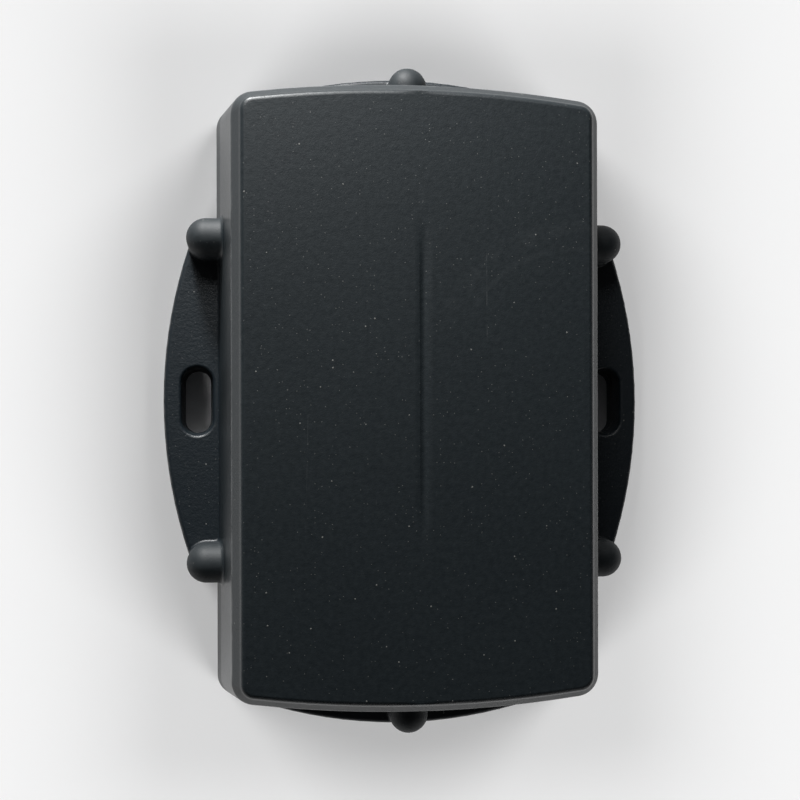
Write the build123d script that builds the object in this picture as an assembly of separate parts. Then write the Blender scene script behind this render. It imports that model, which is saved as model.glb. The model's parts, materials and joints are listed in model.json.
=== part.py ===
from build123d import *

import math
import os

# Sealed wireless asset tracker: a drafted, domed-ended box with two slotted side flanges,
# two short end flanges and six closed screw bosses. It lies on its flat back.
# Millimetres. +X across the flanges, +Y along the case, +Z out of the blank face.
# The origin is at the centre of the back.

# ---- case: heights ----
CASE_HEIGHT = 24.0
RIM_Z = 21.2                 # lower edge of the bevel band
FLANGE_TOP = 6.0
PARTING_Z = 3.0              # base plate below, cover above
WALL = 2.2
CEILING_Z = CASE_HEIGHT - WALL

# ---- case: outline of the base plate; the cover's walls lean inwards above it ----
BASE_HALF_WIDTH = 24.65
BASE_HALF_LENGTH = 40.4
CORNER_R = 2.8               # upright corners, the same from the back to the bevel band
INNER_CORNER_R = 4.9         # less the inset: corners of the seal, the plug and the cavity
END_ARC_R = 154.0            # gentle dome of the two ends
DRAFT = 6.58                 # degrees
BEVEL_INSET = 1.3
FACE_EDGE_R = 0.7
RIM_EDGE_R = 0.35

# ---- flanges and slots ----
SIDE_APEX = 31.45
SIDE_ARC_R = 63.7
END_APEX = 42.62
END_FLANGE_R = 58.7
END_REACH = 22.5             # the end flanges have died into the case outline by here
FLANGE_EDGE_R = 0.6
SLOT_X = 27.12
SLOT_WIDTH = 3.4             # straight stretch, in the base plate
SLOT_LENGTH = 8.2
SLOT_STEP = 0.04             # the cover's slot is larger by this, all round
SLOT_DRAFT = 6.0             # degrees, in the cover
SLOT_EDGE_R = 0.45
FOOT_R = 0.3                 # where the walls and bosses meet the flanges

# ---- screw bosses ----
BOSS_R = 2.5
BOSS_CENTRE_Z = 9.7
SIDE_BOSS_X = 25.85
SIDE_BOSS_Y = 20.75
END_BOSS_Y = 40.65
BOSS_ROOT = 2.9              # how far a boss's rib runs back into the wall
CREASE_R = 0.6               # where a boss grows out of the wall
PILOT_TOP = 10.0
SCREW_R = 1.0
SCREW_CLEARANCE_R = 1.1
SCREW_HEAD_R = 1.85
SCREW_HEAD_DEPTH = 0.85
SCREW_RECESS = 0.1
DRIVE_R = 0.75
DRIVE_DEPTH = 0.6

# ---- cover: inside ----
RIB_X = 0.5
RIB_Y_LOW = -17.7
RIB_Y_HIGH = 21.5
RIB_THICKNESS = 1.0
RIB_DEPTH = 3.0
SINK_WIDTH = 1.1             # faint hollow in the face, over the rib
SINK_DEPTH = 0.12
POST_R = 2.2
POST_X = 17.6
POST_Y = 31.0
POST_PILOT_R = 0.8
POST_PILOT_TOP = 21.0

# ---- base plate and seal ----
FLOOR_Z = 2.2
PLUG_TOP = 4.6
PLUG_GAP = 0.3               # clears the leaning wall up to PLUG_TOP
PLUG_WALL = 1.2
GROOVE_INSET = 1.05
GROOVE_WIDTH = 1.0
GROOVE_DEPTH = 0.9
SEAL_GAP = 0.05
BACK_EDGE_R = 0.4

# ---- main board ----
BOARD_BOTTOM = 15.2
BOARD_TOP = 16.8
BOARD_HALF_WIDTH = 19.9
BOARD_HALF_LENGTH = 34.4
BOARD_CORNER_R = 3.0
BOARD_HOLE_R = 1.1
BOARD_SCREW_R = 0.8
BOARD_SCREW_TIP = 20.8
BOARD_HEAD_R = 1.6
BOARD_HEAD_HEIGHT = 1.2

# ---- batteries: AAA ----
CELL_R = 5.25
CELL_LENGTH = 44.5
CELL_NUB_R = 1.9
CELL_NUB_HEIGHT = 0.9
CELL_RIM_R = 0.5
CELL_PITCH = 11.0
CELL_Z = 8.85
CELL_ROWS = (-CELL_PITCH, 0.0, CELL_PITCH)
CELL_WAYS = (1, -1, 1)       # which end of each cell is positive
HOLDER_INNER_LOW = -34.4
HOLDER_INNER_HIGH = 13.4
HOLDER_WALL = 1.0
HOLDER_INNER_HALF_WIDTH = 16.5
HOLDER_FLOOR_Z = 14.2
HOLDER_TOP = 15.1
HOLDER_WALL_LOW = 6.0
HOLDER_END_LOW = 4.4
CONTACT_THICKNESS = 0.4
CONTACT_HALF_WIDTH = 4.2
CONTACT_LOW = 5.2
CONTACT_HIGH = 13.0
CONTACT_PIN_WIDTH = 1.0
SPRING_WIRE_R = 0.25
SPRING_R = 2.4
SPRING_PITCH = 0.9
SPRING_GAP = 0.02            # between a spring and its plate
PAD_HALF_WIDTH = 15.0
PAD_Y_LOW = -31.0
PAD_Y_HIGH = 10.0

# ---- radio parts, on the board's upper side ----
MODEM_AT = (10.6, -4.0)
MODEM_SIZE = (15.8, 17.7, 0.8)
MODEM_CAN = (15.0, 16.9, 1.6)
GNSS_AT = (-10.5, 1.5)
GNSS_SIZE = (9.7, 10.1, 0.8)
GNSS_CAN = (9.1, 9.5, 1.4)
CAN_WALL = 0.2
CAN_CORNER_R = 0.5
PAD_NOTCH_R = 0.25
PATCH_AT = (-10.4, 18.0)
PATCH_SIZE = 18.0
PATCH_HEIGHT = 4.0
PATCH_ELECTRODE = 15.6
PATCH_FOIL = 0.1
PATCH_PIN_R = 0.5
PATCH_PIN_OFFSET = 1.8
PATCH_PIN_HEAD_R = 0.9
PATCH_PIN_HEAD_HEIGHT = 0.2
PATCH_CORNER_R = 0.6
PATCH_TRIM = 2.0
CARRIER_AT_Y = -29.3
CARRIER_SIZE = (29.0, 7.0, 4.4)
CARRIER_WALL = 1.0
FOIL_THICKNESS = 0.12
FOIL_MARGIN_X = 1.0
FOIL_MARGIN_Y = 0.5
FOIL_SLITS = (-9.0, -3.0, 3.0, 9.0)
FOIL_SLIT_WIDTH = 1.2
FOIL_SLIT_SHIFT = 1.5        # alternate slits open at alternate edges
FOIL_LEG_X = -6.0
FOIL_LEG_WIDTH = 2.0

# ---- service parts, on the board's lower side ----
SIM_AT_X = -8.0
SIM_Y_LOW = 18.1
SIM_Y_HIGH = 31.1
SIM_WIDTH = 12.6
SIM_FLOOR = 0.5
SIM_LOW = 13.75
SIM_BACK_WALL = 1.0
SIM_SHELL_THICKNESS = 0.15
CARD_WIDTH = 8.8
CARD_LENGTH = 12.3
CARD_THICKNESS = 0.67
CARD_LOW = 13.85
CARD_Y_LOW = 19.7
CARD_SIDE_GAP = 0.12
CARD_CORNER = 1.65
SWITCH_AT = (8.0, 27.5)
SWITCH_SIZE = 5.2
SWITCH_LOW = 13.6
SWITCH_FRAME = 0.2
SWITCH_WELL_R = 1.9
SWITCH_WELL_TOP = 14.7
BUTTON_R = 1.15
BUTTON_FLANGE_R = 1.6
BUTTON_LOW = 12.7
BUTTON_FLANGE_LOW = 13.65
BUTTON_FLANGE_HIGH = 14.05
BUTTON_CLEARANCE = 0.08
HEADER_AT = (11.5, 20.0)
HEADER_SIZE = (4.4, 3.1, 1.5)
HEADER_PITCH = 1.27
PIN_WIDTH = 0.4
PIN_LOW = 11.9
CARD_CORNER_R = 0.8
SIM_FINGER = (2.0, 1.0, 0.1)
SIM_FINGER_X = 2.4
SIM_FINGER_PITCH = 2.54
SWITCH_CORNER_R = 0.4
BUTTON_EDGE_R = 0.2

# ---- small parts on the board: places and (x, y, height) ----
CHIP_ANTENNA_AT = (8.0, 32.0)
CHIP_ANTENNA_SIZE = (6.8, 2.0, 0.9)
CONTROLLER_AT = (8.5, 15.0)
CONTROLLER_SIZE = (7.0, 7.0, 0.9)
FLASH_AT = (16.0, 15.0)
FLASH_SIZE = (4.9, 6.0, 1.0)
ACCELEROMETER_AT = (5.5, 22.5)
ACCELEROMETER_SIZE = (3.0, 3.0, 1.0)
POWER_CHIPS_AT = ((-12.0, -12.5), (-5.5, -12.5))
POWER_CHIP_SIZE = (4.0, 4.0, 0.9)
CRYSTALS_AT = ((11.0, 22.0), (16.5, 22.0))
CRYSTAL_SIZE = (3.2, 1.6, 0.8)
INDUCTORS_AT = ((-17.2, -12.5), (-17.2, -17.4), (-2.8, -7.0))
INDUCTOR_SIZE = (4.0, 4.0, 1.4)
TANKS_AT = ((-12.2, -22.2), (-4.2, -22.2))
TANK_SIZE = (7.3, 4.3, 2.8)
LED_AT = (14.5, 31.0)
LED_SIZE = (2.0, 1.25, 0.8)
PASSIVE_SIZE = (1.6, 0.8, 0.5)
PASSIVE_STEP_X = 2.3
PASSIVE_STEP_Y = 1.4
PASSIVE_FIELDS = ((2.6, 7.2, 6, 2), (-18.0, -8.0, 6, 2), (3.4, -22.8, 4, 3))  # x, y, columns, rows
SMALL_CORNER_R = 0.05
LED_CORNER_R = 0.1
CHIP_CORNER_R = 0.2
INDUCTOR_CORNER_R = 0.5

MARGIN = 1.0                 # how far a cutter passes beyond what it cuts
FLUSH = 0.01                 # edges within this of a height lie at it
FROM_BELOW = (Align.CENTER, Align.CENTER, Align.MIN)


# ---- helpers ----
def inset_at(z):
    """Inward shift of the cover's drafted wall at height z."""
    return (z - PARTING_Z) * math.tan(math.radians(DRAFT))


def block(size_x, size_y, z_low, z_high, x=0.0, y=0.0):
    return Pos(x, y, z_low) * Box(size_x, size_y, z_high - z_low, align=FROM_BELOW)


def rod(radius, z_low, z_high, x=0.0, y=0.0):
    return Pos(x, y, z_low) * Cylinder(radius, z_high - z_low, align=FROM_BELOW)


def cone(r_low, r_high, z_low, z_high, x=0.0, y=0.0):
    return Pos(x, y, z_low) * Cone(r_low, r_high, z_high - z_low, align=FROM_BELOW)


def chip(at, size, z_low=BOARD_TOP, corner=CHIP_CORNER_R):
    """Rounded rectangular package standing on z_low."""
    plate = RectangleRounded(size[0], size[1], corner)
    return Pos(at[0], at[1], z_low) * extrude(plate, size[2])


def hung_chip(at, size, corner=CHIP_CORNER_R):
    """The same, hung from the board's lower side."""
    return chip(at, size, BOARD_BOTTOM - size[2], corner)


def outline(inset, corner_r=None):
    """Case outline: straight sides, domed ends and round corners."""
    half_width = BASE_HALF_WIDTH - inset
    arc_r = END_ARC_R - inset
    arc_y = BASE_HALF_LENGTH - END_ARC_R
    strip = Rectangle(2 * half_width, 2 * BASE_HALF_LENGTH)
    shape = strip & (Pos(0, arc_y) * Circle(arc_r)) & (Pos(0, -arc_y) * Circle(arc_r))
    return fillet(shape.vertices(), corner_r or INNER_CORNER_R - inset)


def ring(inset, width):
    return outline(inset) - outline(inset + width)


def lens(apex, radius):
    """Region between two arcs of one radius, with its apexes on the X axis."""
    centre = radius - apex
    return (Pos(-centre, 0) * Circle(radius)) & (Pos(centre, 0) * Circle(radius))


def boss_places():
    """Centre of each boss and the direction from it to the wall."""
    sides = [(sx * SIDE_BOSS_X, sy * SIDE_BOSS_Y, -sx, 0) for sx in (-1, 1) for sy in (-1, 1)]
    ends = [(0, sy * END_BOSS_Y, 0, -sy) for sy in (-1, 1)]
    return sides + ends


def post_places():
    return [(sx * POST_X, sy * POST_Y) for sx in (-1, 1) for sy in (-1, 1)]


# ---- case ----
def shell_body():
    """Drafted walls, bevel band and softened face, as one closed form."""
    foot = Pos(0, 0, PARTING_Z) * outline(0, CORNER_R)
    rim_plan = outline(inset_at(RIM_Z), CORNER_R)
    walls = loft([foot, Pos(0, 0, RIM_Z) * rim_plan], ruled=True)
    bevel_angle = math.degrees(math.atan(BEVEL_INSET / (CASE_HEIGHT - RIM_Z)))
    band = Pos(0, 0, RIM_Z) * extrude(rim_plan, CASE_HEIGHT - RIM_Z, taper=bevel_angle)
    body = walls + band
    body = fillet(body.faces().sort_by(Axis.Z)[-1].edges(), FACE_EDGE_R)
    rim = body.edges().filter_by_position(Axis.Z, RIM_Z - FLUSH, RIM_Z + FLUSH)
    return fillet(rim, RIM_EDGE_R)


def boss_foot(x, y, to_x, to_y):
    """Plan of one boss and its rib."""
    size_x = BOSS_ROOT if to_x else 2 * BOSS_R
    size_y = BOSS_ROOT if to_y else 2 * BOSS_R
    web = Pos(x + to_x * BOSS_ROOT / 2, y + to_y * BOSS_ROOT / 2) * Rectangle(size_x, size_y)
    return web + Pos(x, y) * Circle(BOSS_R)


def boss(x, y, to_x, to_y):
    """Upright round-topped boss with a round-topped rib to the wall."""
    post = Pos(0, 0, PARTING_Z) * extrude(boss_foot(x, y, to_x, to_y), BOSS_CENTRE_Z - PARTING_Z)
    dome = Pos(x, y, BOSS_CENTRE_Z) * Sphere(BOSS_R)
    turn = Rot(0, 90, 0) if to_x else Rot(90, 0, 0)
    middle = Pos(x + to_x * BOSS_ROOT / 2, y + to_y * BOSS_ROOT / 2, BOSS_CENTRE_Z)
    return post + dome + middle * turn * Cylinder(BOSS_R, BOSS_ROOT)


def soft_slab(plan, z_low, z_high, soft_z, radius):
    """Slab of this plan with the edges at height soft_z rounded."""
    slab = Pos(0, 0, z_low) * extrude(plan, z_high - z_low)
    soft = slab.edges().filter_by_position(Axis.Z, soft_z - FLUSH, soft_z + FLUSH)
    return fillet(soft, radius)


def flanges(z_low, z_high, soft_z, radius):
    """One layer of the two long side flanges and the two short end flanges."""
    side = lens(SIDE_APEX, SIDE_ARC_R) & Rectangle(2 * SIDE_APEX, 2 * SIDE_BOSS_Y)
    end = Rot(0, 0, 90) * lens(END_APEX, END_FLANGE_R) & Rectangle(2 * END_REACH, 2 * END_APEX)
    layer = soft_slab(side, z_low, z_high, soft_z, radius)
    return layer + soft_slab(end, z_low, z_high, soft_z, radius)


def bosses():
    made = Part()
    for place in boss_places():
        made += boss(*place)
    return made


def soften_creases(solid):
    """Blend each boss into the leaning wall that it grows out of."""
    creases = []
    for edge in solid.edges():
        height = (edge @ 0.5).Z
        over_top = edge.geom_type in (GeomType.ELLIPSE, GeomType.BSPLINE)
        up_side = edge.geom_type in (GeomType.LINE, GeomType.HYPERBOLA)
        if over_top and BOSS_CENTRE_Z + BOSS_R - CREASE_R / 2 < height < BOSS_CENTRE_Z + BOSS_R + MARGIN:
            creases.append(edge)
        if up_side and edge.length > 2 * BOSS_R and abs(height - (PARTING_Z + BOSS_CENTRE_Z) / 2) < FOOT_R:
            creases.append(edge)
    return fillet(creases, CREASE_R)


def level_edges(solid, z):
    """Edges that lie in the plane at this height."""
    level = solid.edges().filter_by_position(Axis.Z, z - FLUSH, z + FLUSH)
    return [edge for edge in level if edge.bounding_box().size.Z < FLUSH and edge.length > 0.05]


def at_slot(edge):
    """Whether an edge belongs to the mouth of a mounting slot."""
    middle = edge @ 0.5
    beside = abs(abs(middle.X) - SLOT_X) < SLOT_WIDTH and abs(middle.Y) < SLOT_LENGTH
    return beside and edge.length < SLOT_LENGTH


def at_rim(edge):
    """Whether an edge runs along the outer border of a flange."""
    middle = edge @ 0.5
    along_end = edge.geom_type == GeomType.CIRCLE and 2 * BOSS_R < abs(middle.X) < END_REACH / 2 + MARGIN
    return abs(middle.X) > SLOT_X + SLOT_WIDTH / 2 or (along_end and abs(middle.Y) > BASE_HALF_LENGTH)


def soften_slots(solid):
    return fillet([edge for edge in level_edges(solid, FLANGE_TOP) if at_slot(edge)], SLOT_EDGE_R)


def soften_feet(solid):
    """Blend the walls and bosses into the flanges."""
    level = level_edges(solid, FLANGE_TOP)
    return fillet([edge for edge in level if not at_slot(edge) and not at_rim(edge)], FOOT_R)


def slot_cutter(width_gain, z_low, z_high, draft):
    """Both mounting slots. A positive draft widens them upwards."""
    shape = Rot(0, 0, 90) * SlotOverall(SLOT_LENGTH + width_gain, SLOT_WIDTH + width_gain)
    cut = Part()
    for side in (-1, 1):
        cut += Pos(side * SLOT_X, 0, z_low) * extrude(shape, z_high - z_low, taper=-draft)
    return cut


def sink_hollow():
    radius = (SINK_WIDTH ** 2 / 4 + SINK_DEPTH ** 2) / (2 * SINK_DEPTH)
    middle = (RIB_Y_LOW + RIB_Y_HIGH) / 2
    length = RIB_Y_HIGH - RIB_Y_LOW - SINK_WIDTH
    centre_z = CASE_HEIGHT - SINK_DEPTH + radius
    hollow = Pos(RIB_X, middle, centre_z) * Rot(90, 0, 0) * Cylinder(radius, length)
    for end in (-1, 1):
        hollow += Pos(RIB_X, middle + end * length / 2, centre_z) * Sphere(radius)
    return hollow


def cavity():
    return Pos(0, 0, PARTING_Z) * extrude(outline(WALL), CEILING_Z - PARTING_Z, taper=DRAFT)


def cover():
    shell = soften_creases(shell_body() + bosses())
    shell += flanges(PARTING_Z, FLANGE_TOP, FLANGE_TOP, FLANGE_EDGE_R)
    shell -= slot_cutter(2 * SLOT_STEP, PARTING_Z, FLANGE_TOP, SLOT_DRAFT)
    shell = soften_feet(soften_slots(shell))
    shell = shell - cavity() - sink_hollow()
    rib_length = RIB_Y_HIGH - RIB_Y_LOW
    rib_middle = (RIB_Y_LOW + RIB_Y_HIGH) / 2
    rib_low = CEILING_Z - RIB_DEPTH
    shell += block(RIB_THICKNESS, rib_length, rib_low, CEILING_Z + MARGIN, RIB_X, rib_middle)
    for x, y in post_places():
        shell += rod(POST_R, BOARD_TOP, CEILING_Z + MARGIN, x, y)
    for x, y in post_places():
        shell -= rod(POST_PILOT_R, BOARD_TOP, POST_PILOT_TOP, x, y)
    for x, y, _, _ in boss_places():
        shell -= rod(SCREW_R, PARTING_Z, PILOT_TOP, x, y)
    return shell


def base_plate():
    body = soft_slab(outline(0, CORNER_R), 0, PARTING_Z, 0, BACK_EDGE_R)
    body += flanges(0, PARTING_Z, 0, BACK_EDGE_R)
    for place in boss_places():
        body += soft_slab(boss_foot(*place), 0, PARTING_Z, 0, BACK_EDGE_R)
    inner = WALL + PLUG_GAP
    body += Pos(0, 0, FLOOR_Z) * extrude(ring(inner, PLUG_WALL), PLUG_TOP - FLOOR_Z)
    body -= Pos(0, 0, FLOOR_Z) * extrude(outline(inner + PLUG_WALL), PLUG_TOP)
    groove = ring(GROOVE_INSET, GROOVE_WIDTH)
    body -= Pos(0, 0, PARTING_Z - GROOVE_DEPTH) * extrude(groove, GROOVE_DEPTH)
    body -= slot_cutter(0, -MARGIN, PARTING_Z + MARGIN, 0)
    for x, y, _, _ in boss_places():
        body -= rod(SCREW_CLEARANCE_R, -MARGIN, PARTING_Z + MARGIN, x, y)
        body -= cone(SCREW_HEAD_R + SCREW_RECESS, SCREW_R, 0, SCREW_HEAD_DEPTH + SCREW_RECESS, x, y)
    return body


def gasket():
    seal = ring(GROOVE_INSET + SEAL_GAP, GROOVE_WIDTH - 2 * SEAL_GAP)
    return Pos(0, 0, PARTING_Z - GROOVE_DEPTH + SEAL_GAP) * extrude(seal, GROOVE_DEPTH - SEAL_GAP)


def case_screws():
    screws = []
    drive = extrude(RegularPolygon(DRIVE_R, 6), DRIVE_DEPTH)
    for x, y, _, _ in boss_places():
        head = cone(SCREW_HEAD_R, SCREW_R, SCREW_RECESS, SCREW_RECESS + SCREW_HEAD_DEPTH, x, y)
        shank = rod(SCREW_R, SCREW_RECESS, PILOT_TOP - SCREW_R, x, y)
        screws.append(head + shank - Pos(x, y, SCREW_RECESS) * drive)
    return Compound(children=screws)


# ---- board and its screws ----
def main_board():
    plate = RectangleRounded(2 * BOARD_HALF_WIDTH, 2 * BOARD_HALF_LENGTH, BOARD_CORNER_R)
    board = Pos(0, 0, BOARD_BOTTOM) * extrude(plate, BOARD_TOP - BOARD_BOTTOM)
    for x, y in post_places():
        board -= rod(BOARD_HOLE_R, BOARD_BOTTOM - MARGIN, BOARD_TOP + MARGIN, x, y)
    pin_x = PATCH_AT[0]
    pin_y = PATCH_AT[1] + PATCH_PIN_OFFSET
    return board - rod(PATCH_PIN_R, BOARD_BOTTOM - MARGIN, BOARD_TOP + MARGIN, pin_x, pin_y)


def board_screws():
    screws = []
    head_low = BOARD_BOTTOM - BOARD_HEAD_HEIGHT
    drive = extrude(RegularPolygon(DRIVE_R, 6), DRIVE_DEPTH)
    for x, y in post_places():
        head = rod(BOARD_HEAD_R, head_low, BOARD_BOTTOM, x, y)
        shank = rod(BOARD_SCREW_R, BOARD_BOTTOM, BOARD_SCREW_TIP, x, y)
        screws.append(head + shank - Pos(x, y, head_low) * drive)
    return Compound(children=screws)


# ---- batteries ----
def battery_holder():
    length = HOLDER_INNER_HIGH - HOLDER_INNER_LOW + 2 * HOLDER_WALL
    middle = (HOLDER_INNER_HIGH + HOLDER_INNER_LOW) / 2
    outer_width = 2 * (HOLDER_INNER_HALF_WIDTH + HOLDER_WALL)
    holder = block(outer_width, length, HOLDER_FLOOR_Z, HOLDER_TOP, 0, middle)
    for side in (-1, 1):
        x = side * (HOLDER_INNER_HALF_WIDTH + HOLDER_WALL / 2)
        holder += block(HOLDER_WALL, length, HOLDER_WALL_LOW, HOLDER_TOP, x, middle)
        rib_x = side * CELL_PITCH / 2
        holder += block(HOLDER_WALL, length, HOLDER_FLOOR_Z - HOLDER_WALL, HOLDER_TOP, rib_x, middle)
    for y in (HOLDER_INNER_LOW - HOLDER_WALL / 2, HOLDER_INNER_HIGH + HOLDER_WALL / 2):
        holder += block(outer_width, HOLDER_WALL, HOLDER_END_LOW, HOLDER_TOP, 0, y)
    notch_r = BOARD_HEAD_R + CONTACT_THICKNESS
    for x, y in post_places():
        holder -= rod(notch_r, BOARD_BOTTOM - 2 * BOARD_HEAD_HEIGHT, BOARD_TOP, x, y)
    window = 2 * CONTACT_PIN_WIDTH
    for x, y in contact_places():
        pin_y = y - math.copysign(CONTACT_THICKNESS / 2, y)
        holder -= block(window, 2 * CONTACT_THICKNESS, HOLDER_FLOOR_Z, BOARD_TOP, x, pin_y)
    return holder


def cell(row, way):
    """One AAA cell. way is +1 where its positive end faces +Y."""
    can_length = CELL_LENGTH - CELL_NUB_HEIGHT
    can = Cylinder(CELL_R, can_length, align=FROM_BELOW)
    can = fillet(can.edges().filter_by(GeomType.CIRCLE), CELL_RIM_R)
    nub = rod(CELL_NUB_R, can_length, CELL_LENGTH)
    if way > 0:
        tip_y = HOLDER_INNER_HIGH - CONTACT_THICKNESS
    else:
        tip_y = HOLDER_INNER_LOW + CONTACT_THICKNESS
    return Pos(row, tip_y - way * CELL_LENGTH, CELL_Z) * Rot(-90 * way, 0, 0) * (can + nub)


def contact_places():
    """X and inner Y face of each of the six contacts."""
    ends = (HOLDER_INNER_LOW, HOLDER_INNER_HIGH)
    return [(row, inner) for row in CELL_ROWS for inner in ends]


def contact_plates():
    """Two end plates that link neighbouring cells, and the two terminals with board pins."""
    plates = []
    tab_width = 2 * CONTACT_HALF_WIDTH
    link_width = CELL_PITCH + tab_width
    for end in (-1, 1):
        inner = HOLDER_INNER_HIGH if end > 0 else HOLDER_INNER_LOW
        y = inner - end * CONTACT_THICKNESS / 2
        link_x = end * CELL_PITCH / 2
        terminal_x = -end * CELL_PITCH
        plates.append(block(link_width, CONTACT_THICKNESS, CONTACT_LOW, CONTACT_HIGH, link_x, y))
        tab = block(tab_width, CONTACT_THICKNESS, CONTACT_LOW, CONTACT_HIGH, terminal_x, y)
        pin = block(CONTACT_PIN_WIDTH, CONTACT_THICKNESS, CONTACT_LOW, BOARD_BOTTOM, terminal_x, y)
        plates.append(tab + pin)
    return Compound(children=plates)


def contact_springs():
    """Coil against each cell's negative end."""
    springs = []
    length = HOLDER_INNER_HIGH - HOLDER_INNER_LOW - 2 * CONTACT_THICKNESS - CELL_LENGTH
    travel = length - 2 * SPRING_WIRE_R - 2.5 * SPRING_GAP
    path = Helix(pitch=SPRING_PITCH, height=travel, radius=SPRING_R)
    profile = Plane(origin=path @ 0, z_dir=path % 0) * Circle(SPRING_WIRE_R)
    coil = sweep(profile, path=path, is_frenet=True)
    for row, way in zip(CELL_ROWS, CELL_WAYS):
        start = HOLDER_INNER_LOW if way > 0 else HOLDER_INNER_HIGH
        y = start + way * (CONTACT_THICKNESS + SPRING_WIRE_R + SPRING_GAP)
        springs.append(Pos(row, y, CELL_Z) * Rot(-90 * way, 0, 0) * coil)
    return Compound(children=springs)


def foam_pad():
    middle = (PAD_Y_LOW + PAD_Y_HIGH) / 2
    return block(2 * PAD_HALF_WIDTH, PAD_Y_HIGH - PAD_Y_LOW, FLOOR_Z, CELL_Z - CELL_R, 0, middle)


# ---- radio parts ----
def module(at, size):
    """Small carrier board with a row of half-round edge pads cut down each long side."""
    plate = chip(at, size)
    pads = int(size[1] // HEADER_PITCH) - 1
    top = BOARD_TOP + size[2] + MARGIN
    for side in (-1, 1):
        x = at[0] + side * size[0] / 2
        for index in range(pads):
            y = at[1] + (index - (pads - 1) / 2) * HEADER_PITCH
            plate -= rod(PAD_NOTCH_R, BOARD_TOP - MARGIN, top, x, y)
    return plate


def shield(at, size, z_low):
    """Pressed metal can, open towards the board."""
    can = chip(at, size, z_low, CAN_CORNER_R)
    inner = (size[0] - 2 * CAN_WALL, size[1] - 2 * CAN_WALL, size[2] - CAN_WALL)
    return can - chip(at, inner, z_low, CAN_CORNER_R - CAN_WALL)


def patch_ceramic():
    tile = chip(PATCH_AT, (PATCH_SIZE, PATCH_SIZE, PATCH_HEIGHT), BOARD_TOP, PATCH_CORNER_R)
    return tile - patch_bore()


def patch_bore():
    y = PATCH_AT[1] + PATCH_PIN_OFFSET
    return rod(PATCH_PIN_R, BOARD_BOTTOM, BOARD_TOP + 2 * PATCH_HEIGHT, PATCH_AT[0], y)


def patch_electrode():
    """Silvered square with one trimmed corner."""
    z_low = BOARD_TOP + PATCH_HEIGHT
    plate = block(PATCH_ELECTRODE, PATCH_ELECTRODE, z_low, z_low + PATCH_FOIL, *PATCH_AT)
    corner = PATCH_ELECTRODE / 2
    trim = Pos(PATCH_AT[0] + corner, PATCH_AT[1] + corner, z_low) * Rot(0, 0, 45)
    return plate - trim * Box(PATCH_TRIM, PATCH_TRIM, MARGIN) - patch_bore()


def patch_pin():
    top = BOARD_TOP + PATCH_HEIGHT + PATCH_FOIL
    y = PATCH_AT[1] + PATCH_PIN_OFFSET
    head = rod(PATCH_PIN_HEAD_R, top, top + PATCH_PIN_HEAD_HEIGHT, PATCH_AT[0], y)
    return rod(PATCH_PIN_R, BOARD_BOTTOM, top, PATCH_AT[0], y) + head


def antenna_carrier():
    """Hollow moulded table that holds the cellular antenna away from the board."""
    size_x, size_y, height = CARRIER_SIZE
    top = BOARD_TOP + height
    table = block(size_x, size_y, BOARD_TOP, top, 0, CARRIER_AT_Y)
    inner_x = size_x - 2 * CARRIER_WALL
    inner_y = size_y - 2 * CARRIER_WALL
    return table - block(inner_x, inner_y, BOARD_TOP, top - CARRIER_WALL, 0, CARRIER_AT_Y)


def antenna_foil():
    """Folded metal strip: a branching top pattern and a feed leg down the front."""
    size_x, size_y, height = CARRIER_SIZE
    top = BOARD_TOP + height
    sheet_x = size_x - 2 * FOIL_MARGIN_X
    sheet_y = size_y - 2 * FOIL_MARGIN_Y
    sheet = block(sheet_x, sheet_y, top, top + FOIL_THICKNESS, 0, CARRIER_AT_Y)
    slit = sheet_y - FOIL_MARGIN_X
    for index, x in enumerate(FOIL_SLITS):
        shift = FOIL_SLIT_SHIFT if index % 2 else -FOIL_SLIT_SHIFT
        sheet -= block(FOIL_SLIT_WIDTH, slit, top - MARGIN, top + MARGIN, x, CARRIER_AT_Y + shift)
    front = CARRIER_AT_Y + size_y / 2 + FOIL_THICKNESS / 2
    leg = block(FOIL_LEG_WIDTH, FOIL_THICKNESS, BOARD_TOP, top + FOIL_THICKNESS, FOIL_LEG_X, front)
    bridge_y = front - FOIL_MARGIN_Y
    bridge = block(FOIL_LEG_WIDTH, 2 * FOIL_MARGIN_Y, top, top + FOIL_THICKNESS, FOIL_LEG_X, bridge_y)
    return sheet + leg + bridge


# ---- small parts on the board ----
def group(places, size, corner=CHIP_CORNER_R):
    return Compound(children=[chip(at, size, BOARD_TOP, corner) for at in places])


def passives():
    """Chip resistors and capacitors, in short rows beside the circuits they serve."""
    places = []
    for x, y, columns, rows in PASSIVE_FIELDS:
        for column in range(columns):
            for row in range(rows):
                places.append((x + PASSIVE_STEP_X * column, y + PASSIVE_STEP_Y * row))
    return group(places, PASSIVE_SIZE, SMALL_CORNER_R)


def debug_base():
    return hung_chip(HEADER_AT, HEADER_SIZE)


def debug_pins():
    pins = []
    for column in (-1, 0, 1):
        for row in (-0.5, 0.5):
            x = HEADER_AT[0] + column * HEADER_PITCH
            y = HEADER_AT[1] + row * HEADER_PITCH
            pins.append(block(PIN_WIDTH, PIN_WIDTH, PIN_LOW, BOARD_BOTTOM - HEADER_SIZE[2], x, y))
    return Compound(children=pins)


# ---- SIM socket ----
def sim_tray():
    length = SIM_Y_HIGH - SIM_Y_LOW
    middle = (SIM_Y_HIGH + SIM_Y_LOW) / 2
    tray = block(SIM_WIDTH, length, SIM_LOW, BOARD_BOTTOM, SIM_AT_X, middle)
    bay_width = CARD_WIDTH + 2 * CARD_SIDE_GAP
    bay_low = SIM_Y_LOW + SIM_BACK_WALL
    bay_high = SIM_Y_HIGH + MARGIN
    bay_middle = (bay_low + bay_high) / 2
    roof = BOARD_BOTTOM - SIM_FLOOR
    return tray - block(bay_width, bay_high - bay_low, SIM_LOW, roof, SIM_AT_X, bay_middle)


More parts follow.
